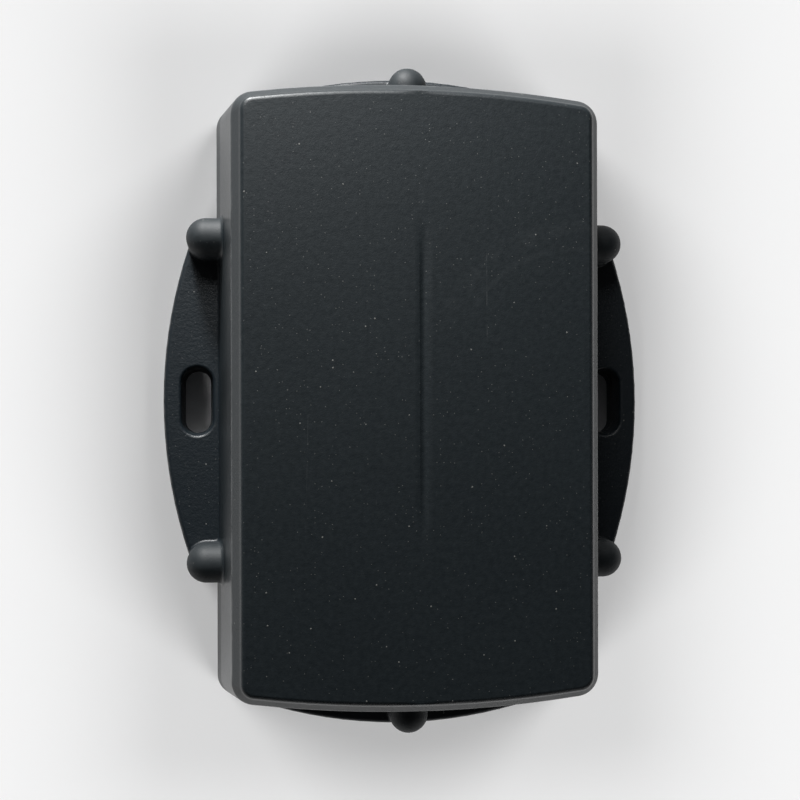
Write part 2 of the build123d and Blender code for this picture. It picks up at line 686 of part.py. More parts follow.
def sim_shell():
    length = SIM_Y_HIGH - SIM_Y_LOW
    middle = (SIM_Y_HIGH + SIM_Y_LOW) / 2
    plate = block(SIM_WIDTH, length, SIM_LOW - SIM_SHELL_THICKNESS, SIM_LOW, SIM_AT_X, middle)
    window = block(CARD_WIDTH / 2, length / 2, SIM_LOW - MARGIN, SIM_LOW + MARGIN, SIM_AT_X, middle)
    return plate - window


def sim_contacts():
    """Six flat spring fingers in the roof of the bay."""
    fingers = []
    high = BOARD_BOTTOM - SIM_FLOOR
    for column in (-1, 1):
        for row in (-1, 0, 1):
            x = SIM_AT_X + column * SIM_FINGER_X
            y = (SIM_Y_HIGH + SIM_Y_LOW) / 2 + row * SIM_FINGER_PITCH
            fingers.append(block(SIM_FINGER[0], SIM_FINGER[1], high - SIM_FINGER[2], high, x, y))
    return Compound(children=fingers)


def sim_card():
    y = CARD_Y_LOW + CARD_LENGTH / 2
    card = chip((SIM_AT_X, y), (CARD_WIDTH, CARD_LENGTH, CARD_THICKNESS), CARD_LOW, CARD_CORNER_R)
    notch = Pos(SIM_AT_X + CARD_WIDTH / 2, CARD_Y_LOW, CARD_LOW) * Rot(0, 0, 45)
    side = CARD_CORNER * math.sqrt(2)
    return card - notch * Box(side, side, 2 * MARGIN)


# ---- reset switch ----
def switch_body():
    size = (SWITCH_SIZE, SWITCH_SIZE, BOARD_BOTTOM - SWITCH_LOW)
    body = hung_chip(SWITCH_AT, size, SWITCH_CORNER_R)
    return body - rod(SWITCH_WELL_R, SWITCH_LOW, SWITCH_WELL_TOP, *SWITCH_AT)


def switch_frame():
    size = (SWITCH_SIZE, SWITCH_SIZE, SWITCH_FRAME)
    plate = chip(SWITCH_AT, size, SWITCH_LOW - SWITCH_FRAME, SWITCH_CORNER_R)
    hole_r = BUTTON_R + BUTTON_CLEARANCE
    return plate - rod(hole_r, SWITCH_LOW - MARGIN, SWITCH_LOW + MARGIN, *SWITCH_AT)


def reset_button():
    stem = rod(BUTTON_R, BUTTON_LOW, BUTTON_FLANGE_HIGH, *SWITCH_AT)
    stem = fillet(stem.edges().sort_by(Axis.Z)[0], BUTTON_EDGE_R)
    return stem + rod(BUTTON_FLANGE_R, BUTTON_FLANGE_LOW, BUTTON_FLANGE_HIGH, *SWITCH_AT)


NODES = {
    "cover": cover,
    "base_plate": base_plate,
    "gasket": gasket,
    "case_screws": case_screws,
    "main_board": main_board,
    "board_screws": board_screws,
    "battery_holder": battery_holder,
    "contact_plates": contact_plates,
    "contact_springs": contact_springs,
    "foam_pad": foam_pad,
    "modem_module": lambda: module(MODEM_AT, MODEM_SIZE),
    "modem_shield": lambda: shield(MODEM_AT, MODEM_CAN, BOARD_TOP + MODEM_SIZE[2]),
    "gnss_module": lambda: module(GNSS_AT, GNSS_SIZE),
    "gnss_shield": lambda: shield(GNSS_AT, GNSS_CAN, BOARD_TOP + GNSS_SIZE[2]),
    "patch_ceramic": patch_ceramic,
    "patch_electrode": patch_electrode,
    "patch_pin": patch_pin,
    "antenna_carrier": antenna_carrier,
    "antenna_foil": antenna_foil,
    "chip_antenna": lambda: chip(CHIP_ANTENNA_AT, CHIP_ANTENNA_SIZE),
    "microcontroller": lambda: chip(CONTROLLER_AT, CONTROLLER_SIZE),
    "flash_memory": lambda: chip(FLASH_AT, FLASH_SIZE),
    "accelerometer": lambda: chip(ACCELEROMETER_AT, ACCELEROMETER_SIZE),
    "power_chips": lambda: group(POWER_CHIPS_AT, POWER_CHIP_SIZE),
    "crystals": lambda: group(CRYSTALS_AT, CRYSTAL_SIZE),
    "inductors": lambda: group(INDUCTORS_AT, INDUCTOR_SIZE, INDUCTOR_CORNER_R),
    "tank_capacitors": lambda: group(TANKS_AT, TANK_SIZE),
    "passives": passives,
    "status_led": lambda: hung_chip(LED_AT, LED_SIZE, LED_CORNER_R),
    "debug_base": debug_base,
    "debug_pins": debug_pins,
    "sim_tray": sim_tray,
    "sim_shell": sim_shell,
    "sim_contacts": sim_contacts,
    "sim_card": sim_card,
    "switch_body": switch_body,
    "switch_frame": switch_frame,
    "reset_button": reset_button,
}

os.makedirs("parts", exist_ok=True)
for name, make in NODES.items():
    export_step(make(), f"parts/{name}.step")
for number, (row, way) in enumerate(zip(CELL_ROWS, CELL_WAYS), start=1):
    export_step(cell(row, way), f"parts/cell_{number}.step")
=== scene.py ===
"""Looks of a sealed wireless asset tracker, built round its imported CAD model.

Metres. +X runs across the flanges, +Y along the case and +Z out of the blank face.
"""

import json
import logging
import math
from collections.abc import Callable
from dataclasses import dataclass, field
from enum import Enum

import bmesh
import bpy
import numpy as np
from mathutils import Euler, Matrix, Vector


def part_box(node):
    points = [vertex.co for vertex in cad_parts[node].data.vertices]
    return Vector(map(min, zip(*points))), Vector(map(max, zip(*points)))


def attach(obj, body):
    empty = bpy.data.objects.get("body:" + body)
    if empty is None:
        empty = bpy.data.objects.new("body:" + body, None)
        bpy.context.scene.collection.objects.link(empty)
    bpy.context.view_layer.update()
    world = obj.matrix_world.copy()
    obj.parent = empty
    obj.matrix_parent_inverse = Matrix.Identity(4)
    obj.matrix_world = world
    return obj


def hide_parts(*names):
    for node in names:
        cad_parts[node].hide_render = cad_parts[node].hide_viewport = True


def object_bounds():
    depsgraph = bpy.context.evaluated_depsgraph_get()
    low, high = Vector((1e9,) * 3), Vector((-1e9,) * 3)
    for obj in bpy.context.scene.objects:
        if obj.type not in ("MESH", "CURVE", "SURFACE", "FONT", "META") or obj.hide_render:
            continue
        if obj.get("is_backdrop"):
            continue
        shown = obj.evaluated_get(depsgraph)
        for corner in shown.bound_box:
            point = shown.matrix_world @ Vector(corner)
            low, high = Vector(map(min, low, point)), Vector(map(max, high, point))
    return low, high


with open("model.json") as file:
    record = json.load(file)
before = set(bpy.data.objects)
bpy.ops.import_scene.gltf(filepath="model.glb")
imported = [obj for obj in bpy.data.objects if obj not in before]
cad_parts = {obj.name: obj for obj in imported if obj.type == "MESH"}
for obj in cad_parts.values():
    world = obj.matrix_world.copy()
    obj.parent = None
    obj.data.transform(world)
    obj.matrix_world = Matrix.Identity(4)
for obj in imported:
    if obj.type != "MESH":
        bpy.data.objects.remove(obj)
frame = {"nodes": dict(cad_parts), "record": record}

LOG = logging.getLogger("tracker")
MM = 0.001
MERGE_GAP = 0.0005 * MM
DRIVE_LOBE = 0.14
RIM_LOBE = 0.06


class Axis(Enum):
    """Which way a pattern or a turned shape runs."""

    X = 0
    Y = 1
    Z = 2


# ---------------------------------------------------------------- shader kit
class Term:
    """One output socket of a material, used as a number in expressions."""

    def __init__(self, sheet: "Sheet", socket: bpy.types.NodeSocket) -> None:
        """Keeps the socket and the sheet that it belongs to."""
        self.sheet = sheet
        self.socket = socket

    def join(self, operation: str, first: "Term | float", second: "Term | float" = 0.0) -> "Term":
        """Adds a Math node.

        Args:
            operation: the Math node's operation.
            first: its first value or link.
            second: its second value or link.

        Returns:
            The node's result.
        """
        node = self.sheet.node("ShaderNodeMath", {"operation": operation}, {0: first, 1: second})
        return Term(self.sheet, node.outputs[0])

    def __add__(self, other: "Term | float") -> "Term":
        """Sum."""
        return self.join("ADD", self, other)

    def __sub__(self, other: "Term | float") -> "Term":
        """Difference."""
        return self.join("SUBTRACT", self, other)

    def __rsub__(self, other: float) -> "Term":
        """Difference from a plain number."""
        return self.join("SUBTRACT", other, self)

    def __mul__(self, other: "Term | float") -> "Term":
        """Product."""
        return self.join("MULTIPLY", self, other)

    def __truediv__(self, other: "Term | float") -> "Term":
        """Quotient."""
        return self.join("DIVIDE", self, other)

    __radd__ = __add__
    __rmul__ = __mul__

    def size(self) -> "Term":
        """Absolute value."""
        return self.join("ABSOLUTE", self)

    def root(self) -> "Term":
        """Square root."""
        return self.join("SQRT", self)

    def either(self, other: "Term") -> "Term":
        """The larger of two."""
        return self.join("MAXIMUM", self, other)

    def repeat(self, step: float) -> "Term":
        """Position within the current step of a repeat, from 0 to 1."""
        return self.join("FRACT", self / step)

    def ease(self, low: float, high: float) -> "Term":
        """Soft step.

        Args:
            low: the value that gives 0.
            high: the value that gives 1. It may be the smaller one.

        Returns:
            A value from 0 to 1.
        """
        first, last, rise = (low, high, True) if low < high else (high, low, False)
        node = self.sheet.node(
            "ShaderNodeMapRange",
            {"interpolation_type": "SMOOTHSTEP", "clamp": True},
            {"Value": self, "From Min": first, "From Max": last},
        )
        result = Term(self.sheet, node.outputs["Result"])
        return result if rise else 1.0 - result


class Sheet:
    """The node tree of one finish."""

    def __init__(self, name: str) -> None:
        """Starts an empty material with object coordinates in millimetres."""
        self.material = bpy.data.materials.new(name)
        self.material.use_nodes = True
        self.tree = self.material.node_tree
        self.tree.nodes.clear()
        self.place = Term(self, self.node("ShaderNodeTexCoord").outputs["Object"])
        split = self.node("ShaderNodeSeparateXYZ", {}, {0: self.place})
        self.x, self.y, self.z = (Term(self, split.outputs[axis.value]) * 1000.0 for axis in Axis)

    def node(self, kind: str, settings: dict | None = None, inputs: dict | None = None) -> bpy.types.Node:
        """Adds a node.

        Args:
            kind: the node's type.
            settings: attributes that are set first.
            inputs: values or links of its sockets, by name or number.

        Returns:
            The node.
        """
        made = self.tree.nodes.new(kind)
        for key, value in (settings or {}).items():
            setattr(made, key, value)
        for key, value in (inputs or {}).items():
            if isinstance(value, Term):
                self.tree.links.new(value.socket, made.inputs[key])
            else:
                made.inputs[key].default_value = value
        return made

    def spread(self, size: float, stretch: tuple = (1.0, 1.0, 1.0),
               shift: tuple = (0.0, 0.0, 0.0)) -> Term:
        """Coordinates scaled so that one unit is this many millimetres.

        Args:
            size: length of one unit in millimetres.
            stretch: how much longer a unit is along each axis.
            shift: moves the pattern, in units.

        Returns:
            The mapped coordinates.
        """
        scale = tuple(1000.0 / (size * part) for part in stretch)
        inputs = {"Vector": self.place, "Scale": scale, "Location": shift}
        node = self.node("ShaderNodeMapping", {}, inputs)
        return Term(self, node.outputs["Vector"])

    def cloud(self, size: float, detail: float = 2.0, gain: float = 0.5, stretch: tuple = (1.0, 1.0, 1.0),
              shift: tuple = (0.0, 0.0, 0.0)) -> Term:
        """Smooth noise from 0 to 1 with lumps of about this size in millimetres."""
        place = self.spread(size, stretch, shift)
        inputs = {"Vector": place, "Scale": 1.0, "Detail": detail, "Roughness": gain}
        return Term(self, self.node("ShaderNodeTexNoise", {}, inputs).outputs["Fac"])

    def grains(self, size: float, shift: tuple = (0.0, 0.0, 0.0)) -> tuple[Term, Term]:
        """Random cells of about this size in millimetres.

        Returns:
            The distance to the cell's middle, in cells, and the cell's own random number.
        """
        inputs = {"Vector": self.spread(size, shift=shift), "Scale": 1.0}
        cells = self.node("ShaderNodeTexVoronoi", {}, inputs)
        parts = self.node("ShaderNodeSeparateColor", {}, {0: Term(self, cells.outputs["Color"])})
        return Term(self, cells.outputs["Distance"]), Term(self, parts.outputs[0])

    def blend(self, amount: Term, first: "Term | tuple", second: "Term | tuple") -> Term:
        """Mixes two colours by an amount from 0 to 1."""
        settings = {"data_type": "RGBA", "clamp_factor": True}
        node = self.node("ShaderNodeMix", settings, {0: amount, 6: first, 7: second})
        return Term(self, node.outputs[2])

    def paint(self, colour: "Term | tuple", roughness: "Term | float", relief: Term, depth: float,
              fixed: dict | None = None, metallic: float = 0.0) -> bpy.types.Material:
        """Ends the sheet in a surface.

        Args:
            colour: base colour.
            roughness: roughness, plain or varying.
            relief: height pattern from about 0 to 1.
            depth: the height of 1 in the pattern, in millimetres.
            fixed: values that are the same all over, set on the surface's own sockets.
            metallic: 1 for bare metal.

        Returns:
            The material.
        """
        bump_inputs = {"Height": relief, "Distance": depth * MM, "Strength": 1.0}
        bump = Term(self, self.node("ShaderNodeBump", {}, bump_inputs).outputs["Normal"])
        inputs = {"Base Color": colour, "Roughness": roughness, "Normal": bump, "Metallic": metallic}
        inputs.update(fixed or {})
        surface = self.node("ShaderNodeBsdfPrincipled", {}, inputs)
        self.node("ShaderNodeOutputMaterial", {}, {"Surface": Term(self, surface.outputs[0])})
        return self.material


def rgb(red: float, green: float, blue: float) -> tuple[float, float, float, float]:
    """An opaque colour."""
    return (red, green, blue, 1.0)


# ---------------------------------------------------------------- finishes
@dataclass(frozen=True)
class CaseMoulding:
    """Charcoal moulded plastic: nearly smooth face, spark-eroded flanges, light dust, wear and a painted rim
    highlight.
    """

    tone: tuple = rgb(0.0050, 0.0080, 0.0098)
    pale_tone: tuple = rgb(0.0095, 0.0135, 0.0157)
    flange_tone: tuple = rgb(0.0028, 0.0060, 0.0088)
    # Pale tone for wear, also used for the painted highlight along the rim edge.
    wear_and_highlight_tone: tuple = rgb(0.060, 0.064, 0.066)
    dust_tone: tuple = rgb(0.20, 0.20, 0.185)
    smudge_tone: tuple = rgb(0.030, 0.034, 0.036)
    seam_tone: tuple = rgb(0.002, 0.002, 0.003)
    parting: float = 3.0
    flange_top: float = 6.0
    rim_height: float = 21.2
    face_height: float = 24.0
    draft: float = 0.1153
    wall_x: float = 25.1
    wall_y: float = 40.85
    sink_x: float = 0.5
    sink_low: float = -20.5
    sink_high: float = 23.2
    depth: float = 0.022
    index: float = 1.42

    def make(self) -> bpy.types.Material:
        """Returns the material."""
        sheet = Sheet("case_charcoal")
        shade = sheet.cloud(26.0, 3.0)
        mottle = sheet.cloud(0.75, 4.0, 0.65)
        grain = sheet.cloud(0.20, 2.0, 0.6)
        eroded = sheet.cloud(0.36, 3.0, 0.7)
        low = sheet.z.ease(self.flange_top + 2.5, self.flange_top + 0.6)
        face = sheet.z.ease(self.face_height - 0.5, self.face_height - 0.1)
        rim = (sheet.z - self.rim_height).size().ease(0.42, 0.1)
        # Pale patchy band on the rim edge: partly edge wear, partly a painted highlight that brightens the
        # rim line.
        rim_wear_and_highlight = rim * sheet.cloud(2.8, 3.0, 0.6).ease(0.30, 0.62)
        scuffs = self.scuffs(sheet)
        specks = self.specks(sheet, 0.42, 0.20, 0.80, 0.0) * 0.45 + self.specks(sheet, 1.3, 0.10, 0.80, 7.0)
        seam = (sheet.z - self.parting).size().ease(0.14, 0.04)
        scratches = self.scratches(sheet) * face
        smudge = self.smudge(sheet) * face
        fibres = sheet.cloud(0.30, 2.0, 0.6, (1.0, 9.0, 1.0), (3.0, 3.0, 3.0)).ease(0.70, 0.80) * face
        pale = shade.ease(0.3, 0.75) * 0.25 + (mottle - 0.5) * 2.2 + 0.35
        body = sheet.blend(pale, self.tone, self.pale_tone)
        body = sheet.blend(low * 0.8 - (eroded - 0.5) * 1.6 * low, body, self.flange_tone)
        # Pale marks: rim wear with its painted highlight, scuffs, scratches and fibres.
        wear_and_highlight = rim_wear_and_highlight * 0.6 + scuffs * 0.6 + scratches * 0.3 + fibres * 0.15
        for amount, tone in ((wear_and_highlight, self.wear_and_highlight_tone), (smudge * 0.3, self.smudge_tone),
                             (specks * 0.6, self.dust_tone), (seam * 0.7, self.seam_tone)):
            body = sheet.blend(amount, body, tone)
        rough = self.sheen(sheet, face, low) + mottle * 0.08 + specks * 0.2
        rough = rough - rim_wear_and_highlight * 0.08 - smudge * 0.04 + scuffs * 0.08
        relief = grain * 0.4 + eroded * (0.45 + low * 1.3) + mottle * (0.9 + low * 0.8) - scratches * 0.3
        relief = relief + specks * 0.8 - self.sink(sheet) * face * 4.5 - seam * 5.0
        return sheet.paint(body, rough, relief, self.depth, {"IOR": self.index})

    def sheen(self, sheet: Sheet, face: Term, low: Term) -> Term:
        """Roughness by zone: the walls are the smoothest, then face and flanges, bevel and bosses."""
        lean = sheet.z * self.draft
        past_x = (sheet.x.size() + lean).ease(self.wall_x, self.wall_x + 0.3)
        past_y = (sheet.y.size() + lean).ease(self.wall_y, self.wall_y + 0.3)
        knobs = (past_x + past_y) * sheet.z.ease(self.flange_top + 0.1, self.flange_top + 0.5)
        bevel = sheet.z.ease(self.rim_height - 0.3, self.rim_height + 0.3)
        bevel = bevel * sheet.z.ease(self.face_height - 0.4, self.face_height - 1.0)
        return 0.30 + face * 0.08 + bevel * 0.20 + low * 0.10 + knobs * 0.28

    def scuffs(self, sheet: Sheet) -> Term:
        """Pale rub marks on the upper walls, long in Y."""
        bands = sheet.cloud(0.9, 3.0, 0.7, (1.0, 6.0, 0.8), (4.0, 1.0, 2.0)).ease(0.56, 0.74)
        upper_wall = sheet.z.ease(12.0, 18.0) * sheet.z.ease(22.5, 20.6)
        return bands * upper_wall * sheet.cloud(7.0, 2.0).ease(0.42, 0.62)

    def sink(self, sheet: Sheet) -> Term:
        """Soft shallow hollow where the rib behind the face has drawn it in."""
        across = (sheet.x - self.sink_x).size().ease(1.15, 0.0)
        near_end = sheet.y.ease(self.sink_low, self.sink_low + 9.0)
        far_end = sheet.y.ease(self.sink_high, self.sink_high - 7.0)
        return across * near_end * far_end

    def specks(self, sheet: Sheet, size: float, radius: float, rarity: float, shift: float) -> Term:
        """Settled grains of dust, one in a few cells of this size."""
        distance, luck = sheet.grains(size, (shift, shift, shift))
        return distance.ease(radius, radius * 0.4) * luck.ease(rarity, rarity + 0.01)

    def scratches(self, sheet: Sheet) -> Term:
        """A few hairlines, long in Y and thin in X."""
        drift = sheet.cloud(30.0, 1.0) * 1.6
        line = (sheet.x - 9.1 + drift).size().ease(0.10, 0.02)
        line = line * (sheet.y - 12.5).size().ease(6.0, 4.0)
        other = (sheet.x + 14.3 - drift).size().ease(0.07, 0.02)
        other = other * (sheet.y + 9.0).size().ease(9.0, 6.0)
        broken = sheet.cloud(1.4, 2.0, 0.6).ease(0.42, 0.6)
        return (line + other * 0.5) * broken

    def smudge(self, sheet: Sheet) -> Term:
        """Faint curved wipe mark on the upper right of the face."""
        across = sheet.x - 19.0
        along = sheet.y - 4.0
        radius = (across * across + along * along).root()
        arc = (radius - 16.5).size().ease(1.6, 0.1) + (radius - 14.2).size().ease(0.7, 0.1) * 0.6
        return arc * along.ease(3.0, 9.0) * sheet.cloud(3.0, 3.0, 0.6).ease(0.35, 0.65)


@dataclass(frozen=True)
class Moulding:
    """Plain moulded plastic, resin, rubber or ceramic with a fine grain."""

    name: str
    tone: tuple
    light_tone: tuple
    roughness: float = 0.45
    grain: float = 0.25
    depth: float = 0.012
    fixed: dict = field(default_factory=dict)

    def make(self) -> bpy.types.Material:
        """Returns the material."""
        sheet = Sheet(self.name)
        shade = sheet.cloud(9.0 * self.grain, 3.0)
        grain = sheet.cloud(self.grain, 3.0, 0.6)
        pits, luck = sheet.grains(self.grain * 3.0)
        pores = pits.ease(0.22, 0.05) * luck.ease(0.8, 0.82)
        tone = sheet.blend(shade * 0.6 + grain * 0.3, self.tone, self.light_tone)
        rough = self.roughness + (shade - 0.5) * 0.12 + pores * 0.1
        return sheet.paint(tone, rough, grain + shade * 0.5 - pores * 0.8, self.depth, self.fixed)


@dataclass(frozen=True)
class Metal:
    """Bare or plated metal with rolling marks along one axis and light tarnish."""

    name: str
    tone: tuple
    dull_tone: tuple
    roughness: float = 0.28
    along: Axis = Axis.Y
    depth: float = 0.004

    def make(self) -> bpy.types.Material:
        """Returns the material."""
        sheet = Sheet(self.name)
        stretch = tuple(14.0 if axis is self.along else 1.0 for axis in Axis)
        marks = sheet.cloud(0.12, 3.0, 0.6, stretch)
        tarnish = sheet.cloud(2.2, 4.0, 0.6).ease(0.42, 0.72)
        tone = sheet.blend(tarnish * 0.7 + marks * 0.2, self.tone, self.dull_tone)
        rough = self.roughness + tarnish * 0.16 + (marks - 0.5) * 0.14
        return sheet.paint(tone, rough, marks + tarnish * 0.4, self.depth, {}, 1.0)


@dataclass(frozen=True)
class BoardLaminate:
    """Solder mask over copper tracks on glass laminate, with bare edges."""

    name: str
    mask: tuple
    over_copper: tuple
    edge: tuple
    low: float
    high: float

    def make(self) -> bpy.types.Material:
        """Returns the material."""
        sheet = Sheet(self.name)
        bands = sheet.cloud(5.0, 0.0, 0.5, (1.0, 1.0, 9.0)).ease(0.5, 0.52)
        along_x = sheet.y.repeat(0.62).ease(0.30, 0.36) * sheet.y.repeat(0.62).ease(0.72, 0.66)
        along_y = sheet.x.repeat(0.62).ease(0.30, 0.36) * sheet.x.repeat(0.62).ease(0.72, 0.66)
        tracks = along_x * bands + along_y * (1.0 - bands)
        filled = sheet.cloud(7.5, 0.0, 0.5, (1.0, 1.0, 9.0), (5.0, 2.0, 0.0)).ease(0.47, 0.48)
        copper = tracks.either(filled)
        weave = (sheet.x.repeat(0.9) - 0.5).size().either((sheet.y.repeat(0.9) - 0.5).size())
        half = (self.high - self.low) / 2
        faces = (sheet.z - (self.low + self.high) / 2).size().ease(half - 0.03, half - 0.01)
        fibres = sheet.cloud(0.35, 3.0, 0.6, (3.0, 3.0, 0.4))
        tone = sheet.blend(copper, self.mask, self.over_copper)
        raw = sheet.blend(fibres, self.edge, rgb(0.55, 0.50, 0.30))
        tone = sheet.blend(faces, raw, tone)
        rough = 0.24 + weave * 0.10 + (1.0 - faces) * 0.3
        return sheet.paint(tone, rough, copper * 1.4 + weave * 0.5 + fibres * 0.2, 0.018)


@dataclass(frozen=True)
class CellSleeve:
    """Shrunk film round a cell: a blank pale body with a darker band at the positive end."""

    positive_y: float
    way: int
    tone: tuple = rgb(0.60, 0.62, 0.64)
    band_tone: tuple = rgb(0.03, 0.10, 0.20)

    def make(self) -> bpy.types.Material:
        """Returns the material."""
        sheet = Sheet("cell_film")
        from_tip = (self.positive_y - sheet.y) * float(self.way)
        band = from_tip.ease(12.2, 12.0)
        stripe = (from_tip - 13.2).size().ease(0.32, 0.28)
        wrinkle = sheet.cloud(1.1, 3.0, 0.6, (1.0, 6.0, 1.0))
        print_grain = sheet.cloud(0.2, 2.0)
        tone = sheet.blend(print_grain * 0.4 + wrinkle * 0.2, self.tone, rgb(0.70, 0.71, 0.72))
        tone = sheet.blend(band + stripe, tone, self.band_tone)
        return sheet.paint(tone, 0.22 + wrinkle * 0.12, wrinkle + print_grain * 0.2, 0.03)


@dataclass(frozen=True)
class OpenFoam:
    """Grey closed-cell foam, with painted shade in its bubble hollows."""

    tone: tuple = rgb(0.055, 0.055, 0.06)

    def make(self) -> bpy.types.Material:
        """Returns the material."""
        sheet = Sheet("foam_grey")
        bubbles, luck = sheet.grains(0.55)
        small, _ = sheet.grains(0.25, (3.0, 1.0, 2.0))
        walls = bubbles.ease(0.15, 0.6) + small.ease(0.2, 0.7) * 0.4
        # Bubble hollows are painted darker than the cell walls: painted shade in the pits.
        tone = sheet.blend(walls * 0.6 + luck * 0.25, rgb(0.02, 0.02, 0.022), self.tone)
        return sheet.paint(tone, 0.82 + luck * 0.1, walls, 0.12)


@dataclass(frozen=True)
class StudioPaper:
    """Pale seamless paper."""

    tone: tuple = rgb(0.83, 0.83, 0.83)
    light_tone: tuple = rgb(0.84, 0.84, 0.84)

    def make(self) -> bpy.types.Material:
        """Returns the material."""
        sheet = Sheet("studio_paper")
        fibre = sheet.cloud(1.2, 3.0, 0.6)
        tone = sheet.blend(fibre * 0.5, self.tone, self.light_tone)
        return sheet.paint(tone, 0.95, fibre, 0.004)


# ---------------------------------------------------------------- mesh kit
def place_object(name: str, mesh: bpy.types.Mesh) -> bpy.types.Object:
    """Puts a mesh into the scene as an object at the origin."""
    made = bpy.data.objects.new(name, mesh)
    bpy.context.scene.collection.objects.link(made)
    return made


def bake(piece: bpy.types.Object) -> bpy.types.Object:
    """Turns a piece's modifiers into plain mesh and takes them off."""
    graph = bpy.context.evaluated_depsgraph_get()
    mesh = bpy.data.meshes.new_from_object(piece.evaluated_get(graph))
    piece.modifiers.clear()
    piece.data = mesh
    mesh.name = piece.name
    return piece


def shade(mesh: bpy.types.Mesh, angle: float) -> None:
    """Smooth shading, with edges sharper than this many degrees kept crisp."""
    work = bmesh.new()
    work.from_mesh(mesh)
    for face in work.faces:
        face.smooth = True
    for edge in work.edges:
        folded = len(edge.link_faces) != 2 or edge.calc_face_angle(0.0) > math.radians(angle)
        edge.smooth = not folded
    work.to_mesh(mesh)
    work.free()


def settle(work: bmesh.types.BMesh, name: str, angle: float | None = None) -> bpy.types.Object:
    """Ends an edited mesh and puts it into the scene, shaded smoothly where an angle is given."""
    mesh = bpy.data.meshes.new(name)
    work.to_mesh(mesh)
    work.free()
    if angle is not None:
        shade(mesh, angle)
    return place_object(name, mesh)


def merged(node: str) -> bmesh.types.BMesh:
    """A CAD node's mesh with its doubled corners merged, open for editing."""
    work = bmesh.new()
    work.from_mesh(frame["nodes"][node].data)
    bmesh.ops.remove_doubles(work, verts=work.verts, dist=MERGE_GAP)
    return work


def smooth_copy(node: str, name: str, bevel: float = 0.0, angle: float = 32.0,
                edit: Callable[[bmesh.types.BMesh], None] | None = None) -> bpy.types.Object:
    """Merged and smoothly shaded copy of a CAD node.

    Args:
        node: the CAD node.
        name: the new piece's name.
        bevel: width of the rounding of its sharp edges, in millimetres, or 0 for none.
        angle: edges that fold by more than this many degrees count as sharp.
        edit: changes the merged mesh before it is shaded, or None.

    Returns:
        The new piece.
    """
    work = merged(node)
    if edit:
        edit(work)
    if bevel:
        bmesh.ops.dissolve_limit(work, angle_limit=math.radians(0.5), verts=work.verts, edges=work.edges)
    piece = settle(work, name, angle)
    if bevel:
        rounding = piece.modifiers.new("rounding", "BEVEL")
        rounding.width = bevel * MM
        rounding.segments = 3
        rounding.limit_method = "ANGLE"
        rounding.angle_limit = math.radians(angle)
    weights = piece.modifiers.new("even_shading", "WEIGHTED_NORMAL")
    weights.mode = "FACE_AREA"
    weights.keep_sharp = True
    return bake(piece)


def islands(node: str) -> list[tuple[Vector, Vector]]:
    """Lowest and highest corners of each separate solid in a CAD node."""
    work = merged(node)
    waiting = set(work.verts)
    found = []
    while waiting:
        edge_of_island = [waiting.pop()]
        members = []
        while edge_of_island:
            vertex = edge_of_island.pop()
            members.append(vertex.co.copy())
            for edge in vertex.link_edges:
                other = edge.other_vert(vertex)
                if other in waiting:
                    waiting.remove(other)
                    edge_of_island.append(other)
        places = np.array([tuple(point) for point in members])
        found.append((Vector(places.min(0)), Vector(places.max(0))))
    work.free()
    return sorted(found, key=lambda pair: (round(pair[0].x, 5), round(pair[0].y, 5), pair[0].z))


def middles(solids: list[tuple[Vector, Vector]]) -> list[Vector]:
    """The middle of each solid."""
    return [(low + high) / 2 for low, high in solids]


def feet(solids: list[tuple[Vector, Vector]]) -> list[Vector]:
    """The middle of each solid's lower end."""
    return [Vector(((low.x + high.x) / 2, (low.y + high.y) / 2, low.z)) for low, high in solids]


def rounded_block(name: str, size: Vector, bevel: float, taper: float = 1.0) -> bpy.types.Object:
    """Block at the origin with rounded edges.

    Args:
        name: the object's name.
        size: its size along each axis, in metres.
        bevel: rounding of the edges, in metres.
        taper: how much narrower the lower face is than the upper.

    Returns:
        The object.
    """
    work = bmesh.new()
    bmesh.ops.create_cube(work, size=1.0)
    for vertex in work.verts:
        narrow = taper if vertex.co.z < 0 else 1.0
        x, y, z = vertex.co
        vertex.co = Vector((x * size.x * narrow, y * size.y * narrow, z * size.z))
    bmesh.ops.bevel(work, geom=work.edges, offset=bevel, segments=2, profile=0.6, affect="EDGES")
    return settle(work, name, 50.0)


